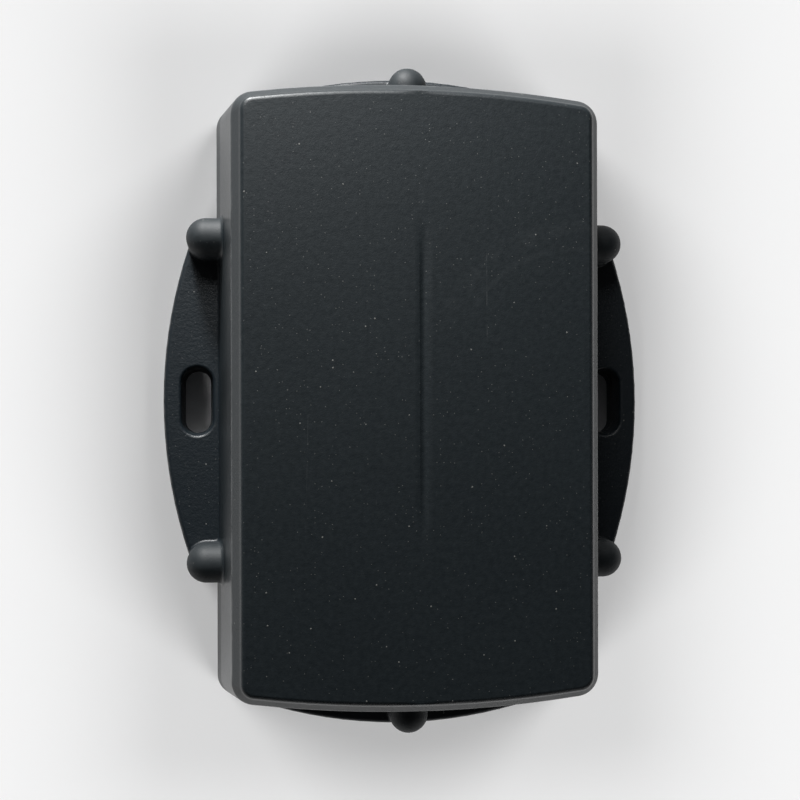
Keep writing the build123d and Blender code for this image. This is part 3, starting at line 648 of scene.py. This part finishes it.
class Turned:
    """Closed shape turned round an axis, built up in millimetres, ring by ring from its lower end."""

    def __init__(self, segments: int = 48) -> None:
        """Starts with no rings."""
        self.segments = segments
        self.rings: list[list[tuple[float, float, float]]] = []

    def ring(self, radius: float, height: float, lobe: float = 0.0) -> "Turned":
        """Adds a ring. A lobe above 0 makes it six-lobed, by that share of its radius."""
        points = []
        for step in range(self.segments):
            turn = 2 * math.pi * step / self.segments
            reach = radius * (1 + lobe * math.cos(6 * turn))
            points.append((reach * math.cos(turn), reach * math.sin(turn), height))
        self.rings.append(points)
        return self

    def thread(self, low: float, high: float, crest: float, depth: float, pitch: float) -> "Turned":
        """Adds a screw thread between two heights."""
        count = max(2, round((high - low) / pitch * 8))
        for index in range(count + 1):
            height = low + (high - low) * index / count
            fade = min(1.0, index / 6, (count - index) / 6)
            points = []
            for step in range(self.segments):
                turn = step / self.segments
                wave = abs(((height - low) / pitch - turn) % 1.0 - 0.5) * 2
                reach = crest - depth + depth * fade * max(0.0, 1.6 * wave - 0.6)
                angle = 2 * math.pi * turn
                points.append((reach * math.cos(angle), reach * math.sin(angle), height))
            self.rings.append(points)
        return self

    def build(self, name: str, axis: Axis = Axis.Z, way: int = 1) -> bpy.types.Object:
        """Makes the object, in metres.

        Args:
            name: its name.
            axis: the axis that it is turned round, Y or Z.
            way: 1 to point along the axis, -1 against it.

        Returns:
            The object.
        """
        work = bmesh.new()
        rows = [[work.verts.new(point) for point in ring] for ring in self.rings]
        for lower, upper in zip(rows, rows[1:]):
            for step in range(self.segments):
                following = (step + 1) % self.segments
                work.faces.new((lower[step], lower[following], upper[following], upper[step]))
        for row, points in ((rows[0], self.rings[0]), (rows[-1], self.rings[-1])):
            middle = work.verts.new((0.0, 0.0, points[0][2]))
            for step in range(self.segments):
                work.faces.new((row[step], row[(step + 1) % self.segments], middle))
        turn = Matrix.Rotation(-math.pi / 2 if axis is Axis.Y else 0.0, 4, "X")
        flip = Matrix.Rotation(math.pi if way < 0 else 0.0, 4, "X")
        bmesh.ops.transform(work, matrix=turn @ flip, verts=work.verts)
        bmesh.ops.recalc_face_normals(work, faces=work.faces)
        piece = settle(work, name, 38.0)
        piece.data.transform(Matrix.Scale(MM, 4))
        return piece


# ---------------------------------------------------------------- geometry trees
class GeometryTree:
    """Geometry node tree with named inputs, which ends in Realize Instances and Set Material."""

    def __init__(self, name: str) -> None:
        """Starts a tree that takes and gives geometry."""
        self.group = bpy.data.node_groups.new(name, "GeometryNodeTree")
        for way in ("INPUT", "OUTPUT"):
            self.group.interface.new_socket("Geometry", in_out=way, socket_type="NodeSocketGeometry")
        self.source = self.group.nodes.new("NodeGroupInput")
        self.sink = self.group.nodes.new("NodeGroupOutput")
        self.identifiers: dict[str, str] = {}

    def size(self, name: str, kind: str = "NodeSocketFloat") -> bpy.types.NodeSocket:
        """Adds a named input and returns its socket inside the tree."""
        item = self.group.interface.new_socket(name, in_out="INPUT", socket_type=kind)
        self.identifiers[name] = item.identifier
        return self.source.outputs[name]

    def node(self, kind: str, settings: dict, inputs: dict) -> bpy.types.Node:
        """Adds a node: its settings first, then the values or links of its inputs."""
        made = self.group.nodes.new(kind)
        for key, value in settings.items():
            setattr(made, key, value)
        for key, value in inputs.items():
            if isinstance(value, bpy.types.NodeSocket):
                self.group.links.new(value, made.inputs[key])
            else:
                made.inputs[key].default_value = value
        return made

    def close(self, geometry: bpy.types.NodeSocket) -> None:
        """Ends the tree."""
        finish = self.size("Finish", "NodeSocketMaterial")
        real = self.node("GeometryNodeRealizeInstances", {}, {"Geometry": geometry})
        inputs = {"Geometry": real.outputs[0], "Material": finish}
        coated = self.node("GeometryNodeSetMaterial", {}, inputs)
        self.group.links.new(coated.outputs[0], self.sink.inputs["Geometry"])

    def run(self, name: str, points: list[Vector], values: dict) -> bpy.types.Object:
        """Makes a plain mesh with the tree.

        Args:
            name: the new piece's name.
            points: the places that the tree starts from.
            values: its inputs, by name.

        Returns:
            The new piece, with no modifier left on it.
        """
        mesh = bpy.data.meshes.new(name)
        mesh.from_pydata([tuple(point) for point in points], [], [])
        piece = place_object(name, mesh)
        modifier = piece.modifiers.new(name, "NODES")
        modifier.node_group = self.group
        for key, value in values.items():
            modifier[self.identifiers[key]] = value
        piece.update_tag()
        return bake(piece)


class ScatterTree(GeometryTree):
    """Sets one pattern at every given place."""

    def __init__(self) -> None:
        """Builds the tree."""
        super().__init__("set_out_pattern")
        pattern = self.size("Pattern", "NodeSocketObject")
        scale = self.size("Size", "NodeSocketVector")
        settings = {"transform_space": "ORIGINAL"}
        shape = self.node("GeometryNodeObjectInfo", settings, {"Object": pattern})
        places = self.node("GeometryNodeInstanceOnPoints", {}, {
            "Points": self.source.outputs["Geometry"],
            "Instance": shape.outputs["Geometry"],
            "Scale": scale,
        })
        self.close(places.outputs[0])

    def set_out(self, name: str, points: list[Vector], pattern: bpy.types.Object,
                finish: bpy.types.Material) -> bpy.types.Object:
        """Copies a pattern to each place, then throws the pattern away.

        Args:
            name: the new piece's name.
            points: where the copies go.
            pattern: the object to copy.
            finish: the copies' material.

        Returns:
            The new piece.
        """
        values = {"Pattern": pattern, "Size": (1.0, 1.0, 1.0), "Finish": finish}
        piece = self.run(name, points, values)
        bpy.data.objects.remove(pattern)
        return piece


class CoilTree(GeometryTree):
    """Conical wire coils along Y, one at every given place."""

    def __init__(self) -> None:
        """Builds the tree."""
        super().__init__("wind_coils")
        names = ("Turns", "Start Radius", "End Radius", "Length", "Wire Radius")
        turns, start_radius, end_radius, length, wire = (self.size(name) for name in names)
        way = self.size("Turn", "NodeSocketVector")
        spiral = self.node("GeometryNodeCurveSpiral", {}, {
            "Resolution": 40,
            "Rotations": turns,
            "Start Radius": start_radius,
            "End Radius": end_radius,
            "Height": length,
        })
        profile = self.node("GeometryNodeCurvePrimitiveCircle", {"mode": "RADIUS"},
                            {"Resolution": 12, "Radius": wire})
        tube = self.node("GeometryNodeCurveToMesh", {}, {
            "Curve": spiral.outputs[0],
            "Profile Curve": profile.outputs[0],
            "Fill Caps": True,
        })
        places = self.node("GeometryNodeInstanceOnPoints", {}, {
            "Points": self.source.outputs["Geometry"],
            "Instance": tube.outputs[0],
            "Rotation": way,
        })
        self.close(places.outputs[0])


# ---------------------------------------------------------------- bench
class Bench:
    """What every sub-assembly shares: the record's slots and bodies, and the finishes."""

    def __init__(self, record: dict, finishes: dict) -> None:
        """Reads the record and makes every finish once."""
        self.slot_of = {part["node"]: part["material_slot"] for part in record["subparts"]}
        bodies = record["behaviour"]["bodies"]
        self.body_of = {node: body for body, nodes in bodies.items() for node in nodes}
        self.coats = {slot: finish.make() for slot, finish in finishes.items()}
        self.scatter = ScatterTree()
        self.coil = CoilTree()

    def coat(self, node: str) -> bpy.types.Material:
        """The finish of a CAD node."""
        return self.coats[self.slot_of[node]]

    def stand_in(self, piece: bpy.types.Object, node: str,
                 coat: bpy.types.Material | None = None) -> None:
        """Makes a piece stand for a CAD node.

        Args:
            piece: the piece.
            node: the node that it replaces.
            coat: its material, or none to keep the material it has or take the node's.
        """
        if coat is not None or not any(piece.data.materials):
            piece.data.materials.clear()
            piece.data.materials.append(coat or self.coat(node))
        body = self.body_of[node]
        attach(piece, body)
        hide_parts(node)
        LOG.info("%s stands for %s on %s", piece.name, node, body)

    def dress_node(self, node: str) -> None:
        """Gives a CAD node that stays its finish."""
        shown = frame["nodes"][node]
        if not shown.material_slots:
            shown.data.materials.append(None)
        for slot in shown.material_slots:
            slot.material = self.coat(node)
        LOG.info("%s keeps its own shape", node)

    def scatter_for(self, node: str, name: str, points: list[Vector], pattern: bpy.types.Object,
                    coat: bpy.types.Material | None = None) -> None:
        """Sets a pattern out at every given place, to stand for a CAD node.

        Args:
            node: the node that the copies replace.
            name: the new piece's name.
            points: where the copies go.
            pattern: the object to copy.
            coat: the copies' material, or none for the node's own.
        """
        self.stand_in(self.scatter.set_out(name, points, pattern, coat or self.coat(node)), node)

    def soften(self, names: dict[str, float]) -> None:
        """Replaces CAD nodes by copies with rounded edges of these widths in millimetres."""
        for node, bevel in names.items():
            self.stand_in(smooth_copy(node, f"{node}_soft", bevel), node)


# ---------------------------------------------------------------- sub-assemblies
@dataclass
class Enclosure:
    """Cover, base plate, seal and the six case screws."""

    bench: Bench
    thread_pitch: float = 0.8
    thread_depth: float = 0.22
    drive_radius: float = 0.66
    drive_depth: float = 0.6
    head_flat: float = 0.12
    shank_share: float = 0.54
    hollow_x: float = 0.5
    hollow_half: float = 0.6
    hollow_deep: float = 0.2
    hollow_low: float = -17.7
    hollow_high: float = 21.5
    hollow_run: int = 9

    def build(self) -> None:
        """Makes the enclosure's pieces and dresses them."""
        self.bench.stand_in(smooth_copy("cover", "cover_shell", edit=self.fade_hollow), "cover")
        self.bench.stand_in(smooth_copy("base_plate", "base_shell"), "base_plate")
        self.bench.soften({"gasket": 0.3})
        self.screws()

    def fade_hollow(self, work: bmesh.types.BMesh) -> None:
        """Lets the shallow hollow in the face run out gently at both ends."""
        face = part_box("cover")[1].z

        def inside(vertex: bmesh.types.BMVert) -> bool:
            """Tells whether a corner lies in the hollow."""
            across = abs(vertex.co.x / MM - self.hollow_x)
            return across < self.hollow_half and vertex.co.z > face - self.hollow_deep * MM

        for step in range(1, self.hollow_run + 1):
            for place in (self.hollow_low + step, self.hollow_high - step):
                faces = [found for found in work.faces if all(inside(corner) for corner in found.verts)]
                edges = list({edge for found in faces for edge in found.edges})
                bmesh.ops.bisect_plane(work, geom=faces + edges, dist=0.001 * MM,
                                       plane_co=(0, place * MM, 0), plane_no=(0, 1, 0))
        for vertex in filter(inside, work.verts):
            along = vertex.co.y / MM
            near = min(along - self.hollow_low, self.hollow_high - along) / self.hollow_run
            near = max(0.0, min(1.0, near))
            vertex.co.z = face - (face - vertex.co.z) * near * near * (3 - 2 * near)

    def screws(self) -> None:
        """Countersunk thread-forming screws with a six-lobed drive in the head."""
        solids = islands("case_screws")
        low, high = solids[0]
        head = (high.x - low.x) / 2 / MM
        length = (high.z - low.z) / MM
        shank = round(head * self.shank_share, 2)
        cone_end = head - shank
        shape = Turned()
        shape.ring(self.drive_radius * 0.72, self.drive_depth, DRIVE_LOBE)
        shape.ring(self.drive_radius * 0.9, self.drive_depth * 0.92, DRIVE_LOBE)
        shape.ring(self.drive_radius, 0.08, DRIVE_LOBE)
        shape.ring(self.drive_radius * 1.12, 0.0, RIM_LOBE)
        shape.ring(head - 0.08, 0.0).ring(head - 0.02, 0.03).ring(head, self.head_flat)
        shape.ring(shank, cone_end + self.head_flat)
        shape.thread(cone_end + self.head_flat, length - 0.5, shank, self.thread_depth,
                     self.thread_pitch)
        shape.ring(shank - self.thread_depth - 0.1, length - 0.12).ring(shank * 0.4, length)
        self.bench.scatter_for("case_screws", "case_screw_set", feet(solids), shape.build("screw_pattern"))


@dataclass
class PowerPack:
    """Three cells in their holder, with contacts, springs and the pad that presses on them."""

    bench: Bench
    ways: tuple = (1, -1, 1)
    spring_turns: float = 3.0
    wire_radius: float = 0.25
    nub_radius: float = 1.9
    nub_height: float = 0.9

    def build(self) -> None:
        """Makes the pack's pieces and dresses them."""
        self.bench.soften({"battery_holder": 0.25, "contact_plates": 0.08, "foam_pad": 0.5})
        for number, way in enumerate(self.ways, start=1):
            self.cell(f"cell_{number}", way)
        self.springs()

    def cell(self, node: str, way: int) -> None:
        """One cell: steel ends, crimped shoulders and a film sleeve."""
        low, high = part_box(node)
        radius = (high.x - low.x) / 2 / MM
        length = (high.y - low.y) / MM
        can = length - self.nub_height
        sleeve = Turned(64)
        sleeve.ring(radius * 0.74, 0.16).ring(radius * 0.9, 0.14).ring(radius - 0.28, 0.2)
        sleeve.ring(radius - 0.06, 0.42).ring(radius, 0.9).ring(radius, can - 0.9)
        sleeve.ring(radius - 0.06, can - 0.42).ring(radius - 0.28, can - 0.12)
        sleeve.ring(radius * 0.86, can - 0.04).ring(radius * 0.72, can - 0.06)
        steel = Turned(64)
        steel.ring(radius * 0.35, 0.0).ring(radius * 0.7, 0.03).ring(radius * 0.82, 0.12)
        steel.ring(radius * 0.84, 0.6).ring(radius * 0.84, can - 0.5)
        steel.ring(radius * 0.80, can - 0.12).ring(radius * 0.70, can - 0.16)
        steel.ring(self.nub_radius + 0.55, can - 0.22).ring(self.nub_radius + 0.12, can - 0.16)
        steel.ring(self.nub_radius, can - 0.02).ring(self.nub_radius, length - 0.16)
        steel.ring(self.nub_radius - 0.12, length - 0.02).ring(self.nub_radius - 0.4, length)
        start = low.y if way > 0 else high.y
        middle = (low + high) / 2
        foot = Vector((middle.x, start, middle.z))
        film = CellSleeve((high.y if way > 0 else low.y) / MM, way).make()
        plate = self.bench.coat("contact_plates")
        for shape, name, coat in ((sleeve, f"{node}_film", film), (steel, f"{node}_can", plate)):
            piece = shape.build(name, Axis.Y, way)
            piece.data.transform(Matrix.Translation(foot))
            self.bench.stand_in(piece, node, coat)

    def springs(self) -> None:
        """Coil springs on the negative ends."""
        for index, (low, high) in enumerate(islands("contact_springs"), start=1):
            way = self.ways[index - 1]
            wire = self.wire_radius * MM
            radius = (high.x - low.x) / 2 - wire
            length = (high.y - low.y) - 2 * wire
            start = low.y + wire if way > 0 else high.y - wire
            values = {
                "Turns": self.spring_turns,
                "Start Radius": radius,
                "End Radius": radius * 0.82,
                "Length": length,
                "Wire Radius": wire,
                "Turn": (-math.pi / 2 * way, 0.0, 0.0),
                "Finish": self.bench.coat("contact_springs"),
            }
            foot = Vector(((low.x + high.x) / 2, start, (low.z + high.z) / 2))
            piece = self.bench.coil.run(f"contact_spring_{index}", [foot], values)
            shade(piece.data, 50.0)
            self.bench.stand_in(piece, "contact_springs")


@dataclass
class RadioBoard:
    """The main board with its modules, antennas, chips and screws."""

    bench: Bench
    cap_length: float = 0.34
    thread_pitch: float = 0.62

    def build(self) -> None:
        """Makes the board's pieces and dresses them."""
        for node in ("main_board", "modem_module", "gnss_module", "patch_pin"):
            self.bench.dress_node(node)
        self.bench.soften({
            "modem_shield": 0.22, "gnss_shield": 0.22, "patch_ceramic": 0.25, "patch_electrode": 0.03,
            "antenna_carrier": 0.2, "antenna_foil": 0.04, "chip_antenna": 0.12, "microcontroller": 0.08,
            "flash_memory": 0.08, "accelerometer": 0.08, "power_chips": 0.08, "crystals": 0.14,
            "inductors": 0.25, "tank_capacitors": 0.3,
        })
        self.passives()
        self.screws()

    def passives(self) -> None:
        """Chip resistors and capacitors: a ceramic body and two tinned end caps each."""
        solids = islands("passives")
        size = solids[0][1] - solids[0][0]
        centres = middles(solids)
        cap = self.cap_length * MM
        body_size = Vector((size.x - cap, size.y * 0.94, size.z * 0.92))
        body = rounded_block("chip_pattern", body_size, 0.04 * MM)
        self.bench.scatter_for("passives", "passive_bodies", centres, body)
        end = rounded_block("cap_pattern", Vector((cap, size.y, size.z)), 0.07 * MM)
        reach = Vector(((size.x - cap) / 2, 0.0, 0.0))
        places = [centre + side * reach for centre in centres for side in (-1, 1)]
        self.bench.scatter_for("passives", "passive_caps", places, end, self.bench.coat("modem_shield"))

    def screws(self) -> None:
        """Pan-head screws that hold the board up against its posts."""
        solids = islands("board_screws")
        low, high = solids[0]
        head = (high.x - low.x) / 2 / MM
        length = (high.z - low.z) / MM
        head_height = (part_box("main_board")[0].z - low.z) / MM
        shank = head / 2
        shape = Turned()
        shape.ring(0.42, 0.55, DRIVE_LOBE).ring(0.5, 0.5, DRIVE_LOBE)
        shape.ring(0.54, 0.06, DRIVE_LOBE).ring(0.62, 0.0, RIM_LOBE)
        shape.ring(head * 0.62, 0.0).ring(head * 0.84, 0.1).ring(head * 0.96, 0.34).ring(head, 0.62)
        shape.ring(head, head_height).ring(shank - 0.14, head_height)
        shape.thread(head_height, length - 0.4, shank, 0.16, self.thread_pitch)
        shape.ring(shank * 0.6, length - 0.1).ring(shank * 0.3, length)
        pattern = shape.build("board_screw_pattern")
        self.bench.scatter_for("board_screws", "board_screw_set", feet(solids), pattern)


@dataclass
class ServicePorts:
    """What the board carries underneath: SIM socket, debug pins, reset switch and lamp."""

    bench: Bench
    pin_tip: float = 0.55
    finger_tip: float = 0.8

    def build(self) -> None:
        """Makes the pieces and dresses them."""
        self.bench.soften({
            "debug_base": 0.15, "sim_tray": 0.12, "sim_shell": 0.05, "sim_card": 0.06,
            "switch_body": 0.12, "switch_frame": 0.05, "status_led": 0.1, "reset_button": 0.06,
        })
        self.repeat("debug_pins", "debug_pin_set", self.pin_tip)
        self.repeat("sim_contacts", "sim_finger_set", self.finger_tip)

    def repeat(self, node: str, name: str, taper: float) -> None:
        """Sets out a row of equal small parts with narrowed lower ends."""
        solids = islands(node)
        size = solids[0][1] - solids[0][0]
        pattern = rounded_block(f"{node}_pattern", size, min(size) * 0.22, taper)
        self.bench.scatter_for(node, name, middles(solids), pattern)


# ---------------------------------------------------------------- studio
def aimed_light(name: str, kind: str, power: float, bearing: float, rise: float,
                distance: float = 0.0) -> bpy.types.Object:
    """Adds a light aimed at the object's middle.

    Args:
        name: the light's name.
        kind: the kind of light.
        power: its energy.
        bearing: degrees to the left of the far end.
        rise: degrees above the floor.
        distance: metres from the middle.

    Returns:
        The light.
    """
    turn, lift = math.radians(bearing), math.radians(rise)
    reach = math.cos(lift)
    direction = Vector((-math.sin(turn) * reach, math.cos(turn) * reach, math.sin(lift)))
    data = bpy.data.lights.new(name, kind)
    data.energy = power
    light = bpy.data.objects.new(name, data)
    light.location = direction * distance
    light.rotation_euler = direction.to_track_quat("Z", "Y").to_euler()
    bpy.context.scene.collection.objects.link(light)
    return light


@dataclass(frozen=True)
class Lamp:
    """Round soft lamp: degrees, metres and watts."""

    name: str
    bearing: float
    rise: float
    distance: float
    size: float
    power: float

    def light(self) -> bpy.types.Object:
        """Puts the lamp into the scene and returns it."""
        light = aimed_light(self.name, "AREA", self.power, self.bearing, self.rise, self.distance)
        light.data.shape = "DISK"
        light.data.size = self.size
        return light


@dataclass
class Studio:
    """Floor, camera and soft light."""

    floor_size: float = 3.0
    floor_drop: float = 0.02
    camera_at: tuple = (-0.01983, -0.00489, 0.20114)
    camera_turn: tuple = (0.03, -8.03, -0.13)
    camera_near: float = 0.01
    sensor: float = 36.0
    lens: float = 66.54
    shift: tuple = (-0.0782, 0.0474)
    key: Lamp = Lamp("key", 18.0, 21.5, 0.21, 0.030, 1.00)
    glow: Lamp = Lamp("glow", 14.0, 47.0, 0.24, 0.100, 0.32)
    fill: Lamp = Lamp("fill", -150.0, 16.0, 0.50, 0.06, 0.10)
    paper_rise: float = 40.0
    paper_spread: float = 30.0
    paper_strength: float = 1.25
    ceiling: float = 0.05
    walls: float = 0.16
    brighter_side: tuple = (-0.45, 0.89, 0.0)
    dim_side: float = 0.15
    bright_side: float = 1.9

    def build(self) -> None:
        """Sets the stage."""
        paper = self.floor()
        self.camera()
        self.lamps(paper)
        self.paper_lights(paper)
        self.surroundings()

    def floor(self) -> bpy.types.Object:
        """Pale paper that the object lies on."""
        half = self.floor_size / 2
        work = bmesh.new()
        corners = [(-half, -half), (half, -half), (half, half), (-half, half)]
        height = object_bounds()[0].z - self.floor_drop * MM
        work.faces.new([work.verts.new((x, y, height)) for x, y in corners])
        paper = settle(work, "paper")
        paper.data.materials.append(StudioPaper().make())
        paper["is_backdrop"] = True
        return paper

    def camera(self) -> None:
        """Looks down on the face, a little from the left."""
        data = bpy.data.cameras.new("camera")
        data.lens = self.lens
        data.sensor_width = self.sensor
        data.shift_x, data.shift_y = self.shift
        data.clip_start = self.camera_near
        camera = bpy.data.objects.new("camera", data)
        camera.location = self.camera_at
        camera.rotation_euler = Euler([math.radians(turn) for turn in self.camera_turn])
        bpy.context.scene.collection.objects.link(camera)
        bpy.context.scene.camera = camera

    def limit(self, light: bpy.types.Object, paper: bpy.types.Object, reach: str) -> None:
        """Makes a light reach only the paper (INCLUDE) or everything but the paper (EXCLUDE)."""
        group = bpy.data.collections.new(f"{light.name}_reach")
        group.objects.link(paper)
        light.light_linking.receiver_collection = group
        group.collection_objects[0].light_linking.link_state = reach

    def lamps(self, paper: bpy.types.Object) -> None:
        """Low key from the far end, a softer glow above it and a weak fill from the near right."""
        for lamp in (self.key, self.glow, self.fill):
            self.limit(lamp.light(), paper, "EXCLUDE")

    def paper_lights(self, paper: bpy.types.Object) -> None:
        """Four broad lights from all sides that keep the paper pale and its shadows faint."""
        for quarter in range(4):
            light = aimed_light(f"paper_light_{quarter + 1}", "SUN", self.paper_strength,
                                -45.0 - 90.0 * quarter, self.paper_rise)
            light.data.angle = math.radians(self.paper_spread)
            self.limit(light, paper, "INCLUDE")

    def surroundings(self) -> None:
        """Dim walls all round with a darker ceiling, brighter towards the far end."""
        world = bpy.data.worlds.new("surroundings")
        world.use_nodes = True
        tree = world.node_tree
        tree.nodes.clear()
        source = tree.nodes.new("ShaderNodeTexCoord").outputs["Generated"]
        ramp = tree.nodes.new("ShaderNodeValToRGB")
        low, high = self.walls, self.ceiling
        stops = (
            (0.0, rgb(low, low, low)),
            (0.35, rgb(low * 0.8, low * 0.8, low * 0.82)),
            (0.8, rgb(high, high, high * 1.05)),
        )
        ramp.color_ramp.elements.new(1.0)
        for element, (position, colour) in zip(ramp.color_ramp.elements, stops):
            element.position = position
            element.color = colour
        swing = tree.nodes.new("ShaderNodeMapRange")
        swing.inputs["From Min"].default_value = -1.0
        swing.inputs["To Min"].default_value = self.dim_side
        swing.inputs["To Max"].default_value = self.bright_side
        for direction, target in (((0.0, 0.0, 1.0), ramp), (self.brighter_side, swing)):
            dot = tree.nodes.new("ShaderNodeVectorMath")
            dot.operation = "DOT_PRODUCT"
            dot.inputs[1].default_value = direction
            tree.links.new(source, dot.inputs[0])
            tree.links.new(dot.outputs["Value"], target.inputs[0])
        background = tree.nodes.new("ShaderNodeBackground")
        output = tree.nodes.new("ShaderNodeOutputWorld")
        tree.links.new(ramp.outputs[0], background.inputs["Color"])
        tree.links.new(swing.outputs[0], background.inputs["Strength"])
        tree.links.new(background.outputs[0], output.inputs["Surface"])
        bpy.context.scene.world = world
        bpy.context.scene.view_settings.view_transform = "Standard"


# ---------------------------------------------------------------- all of it
def finishes() -> dict:
    """One finish for each of the record's material slots."""
    board_low, board_high = (corner.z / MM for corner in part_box("main_board"))
    module_low, module_high = (corner.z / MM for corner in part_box("modem_module"))
    return {
        "case_plastic": CaseMoulding(),
        "seal_silicone": Moulding("silicone_red", rgb(0.20, 0.045, 0.025),
                                  rgb(0.30, 0.08, 0.05), 0.42, 0.3, 0.01),
        "screw_steel": Metal("blackened_steel", rgb(0.10, 0.10, 0.105),
                             rgb(0.045, 0.045, 0.05), 0.38, Axis.Z),
        "board_laminate": BoardLaminate("board_green", rgb(0.008, 0.085, 0.032), rgb(0.016, 0.16, 0.06),
                                        rgb(0.40, 0.36, 0.20), board_low, board_high),
        "holder_plastic": Moulding("holder_black", rgb(0.012, 0.012, 0.013),
                                   rgb(0.022, 0.022, 0.024), 0.5, 0.3, 0.02),
        "cell_sleeve": Moulding("film_plain", rgb(0.60, 0.62, 0.64), rgb(0.70, 0.71, 0.72), 0.24),
        "contact_metal": Metal("nickel_plate", rgb(0.66, 0.64, 0.60), rgb(0.48, 0.46, 0.42), 0.24, Axis.Z),
        "foam": OpenFoam(),
        "module_laminate": BoardLaminate("module_blue", rgb(0.008, 0.035, 0.12), rgb(0.015, 0.06, 0.18),
                                         rgb(0.30, 0.28, 0.16), module_low, module_high),
        "can_metal": Metal("tinned_can", rgb(0.70, 0.69, 0.66), rgb(0.55, 0.54, 0.51), 0.26, Axis.Y),
        "antenna_ceramic": Moulding("fired_ceramic", rgb(0.66, 0.60, 0.48),
                                    rgb(0.78, 0.73, 0.62), 0.55, 0.3, 0.02),
        "electrode_silver": Metal("fired_silver", rgb(0.80, 0.78, 0.73), rgb(0.62, 0.58, 0.50), 0.42, Axis.X),
        "carrier_plastic": Moulding("natural_moulding", rgb(0.68, 0.66, 0.60),
                                    rgb(0.78, 0.76, 0.71), 0.4, 0.35),
        "foil_copper": Metal("gold_flash", rgb(0.80, 0.52, 0.24), rgb(0.60, 0.36, 0.16), 0.25, Axis.X),
        "chip_package": Moulding("epoxy_black", rgb(0.014, 0.014, 0.015),
                                 rgb(0.030, 0.030, 0.032), 0.55, 0.12, 0.01),
        "chip_ceramic": Moulding("glazed_ceramic", rgb(0.30, 0.19, 0.11),
                                 rgb(0.42, 0.29, 0.18), 0.3, 0.12, 0.006),
        "crystal_metal": Metal("matt_nickel", rgb(0.62, 0.61, 0.58), rgb(0.46, 0.45, 0.43), 0.36, Axis.X),
        "tantalum_resin": Moulding("moulded_resin", rgb(0.50, 0.26, 0.04),
                                   rgb(0.62, 0.36, 0.08), 0.35, 0.2, 0.008),
        "led_resin": Moulding("clear_resin", rgb(0.75, 0.78, 0.66), rgb(0.85, 0.87, 0.78), 0.12, 0.2, 0.003,
                              {"Transmission Weight": 0.7, "IOR": 1.5}),
        "pin_gold": Metal("gold_plate", rgb(0.86, 0.62, 0.25), rgb(0.66, 0.44, 0.17), 0.22, Axis.Z),
        "socket_plastic": Moulding("socket_black", rgb(0.016, 0.016, 0.016),
                                   rgb(0.028, 0.028, 0.028), 0.42, 0.2),
        "card_plastic": Moulding("card_white", rgb(0.76, 0.76, 0.74), rgb(0.84, 0.84, 0.82), 0.3, 0.2, 0.005),
        "button_plastic": Moulding("button_red", rgb(0.42, 0.03, 0.02),
                                   rgb(0.56, 0.06, 0.04), 0.35, 0.2, 0.006),
    }


def corners(box: tuple) -> list[list[float]]:
    """A box as plain lists of numbers."""
    return [[float(value) for value in corner] for corner in box]


def main() -> None:
    """Builds the sub-assemblies in order, then the studio."""
    logging.basicConfig(level=logging.INFO, format="%(name)s: %(message)s")
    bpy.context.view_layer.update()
    bench = Bench(frame["record"], finishes())
    for assembly in (Enclosure(bench), PowerPack(bench), RadioBoard(bench), ServicePorts(bench)):
        assembly.build()
    Studio().build()


if __name__ == "__main__":
    main()
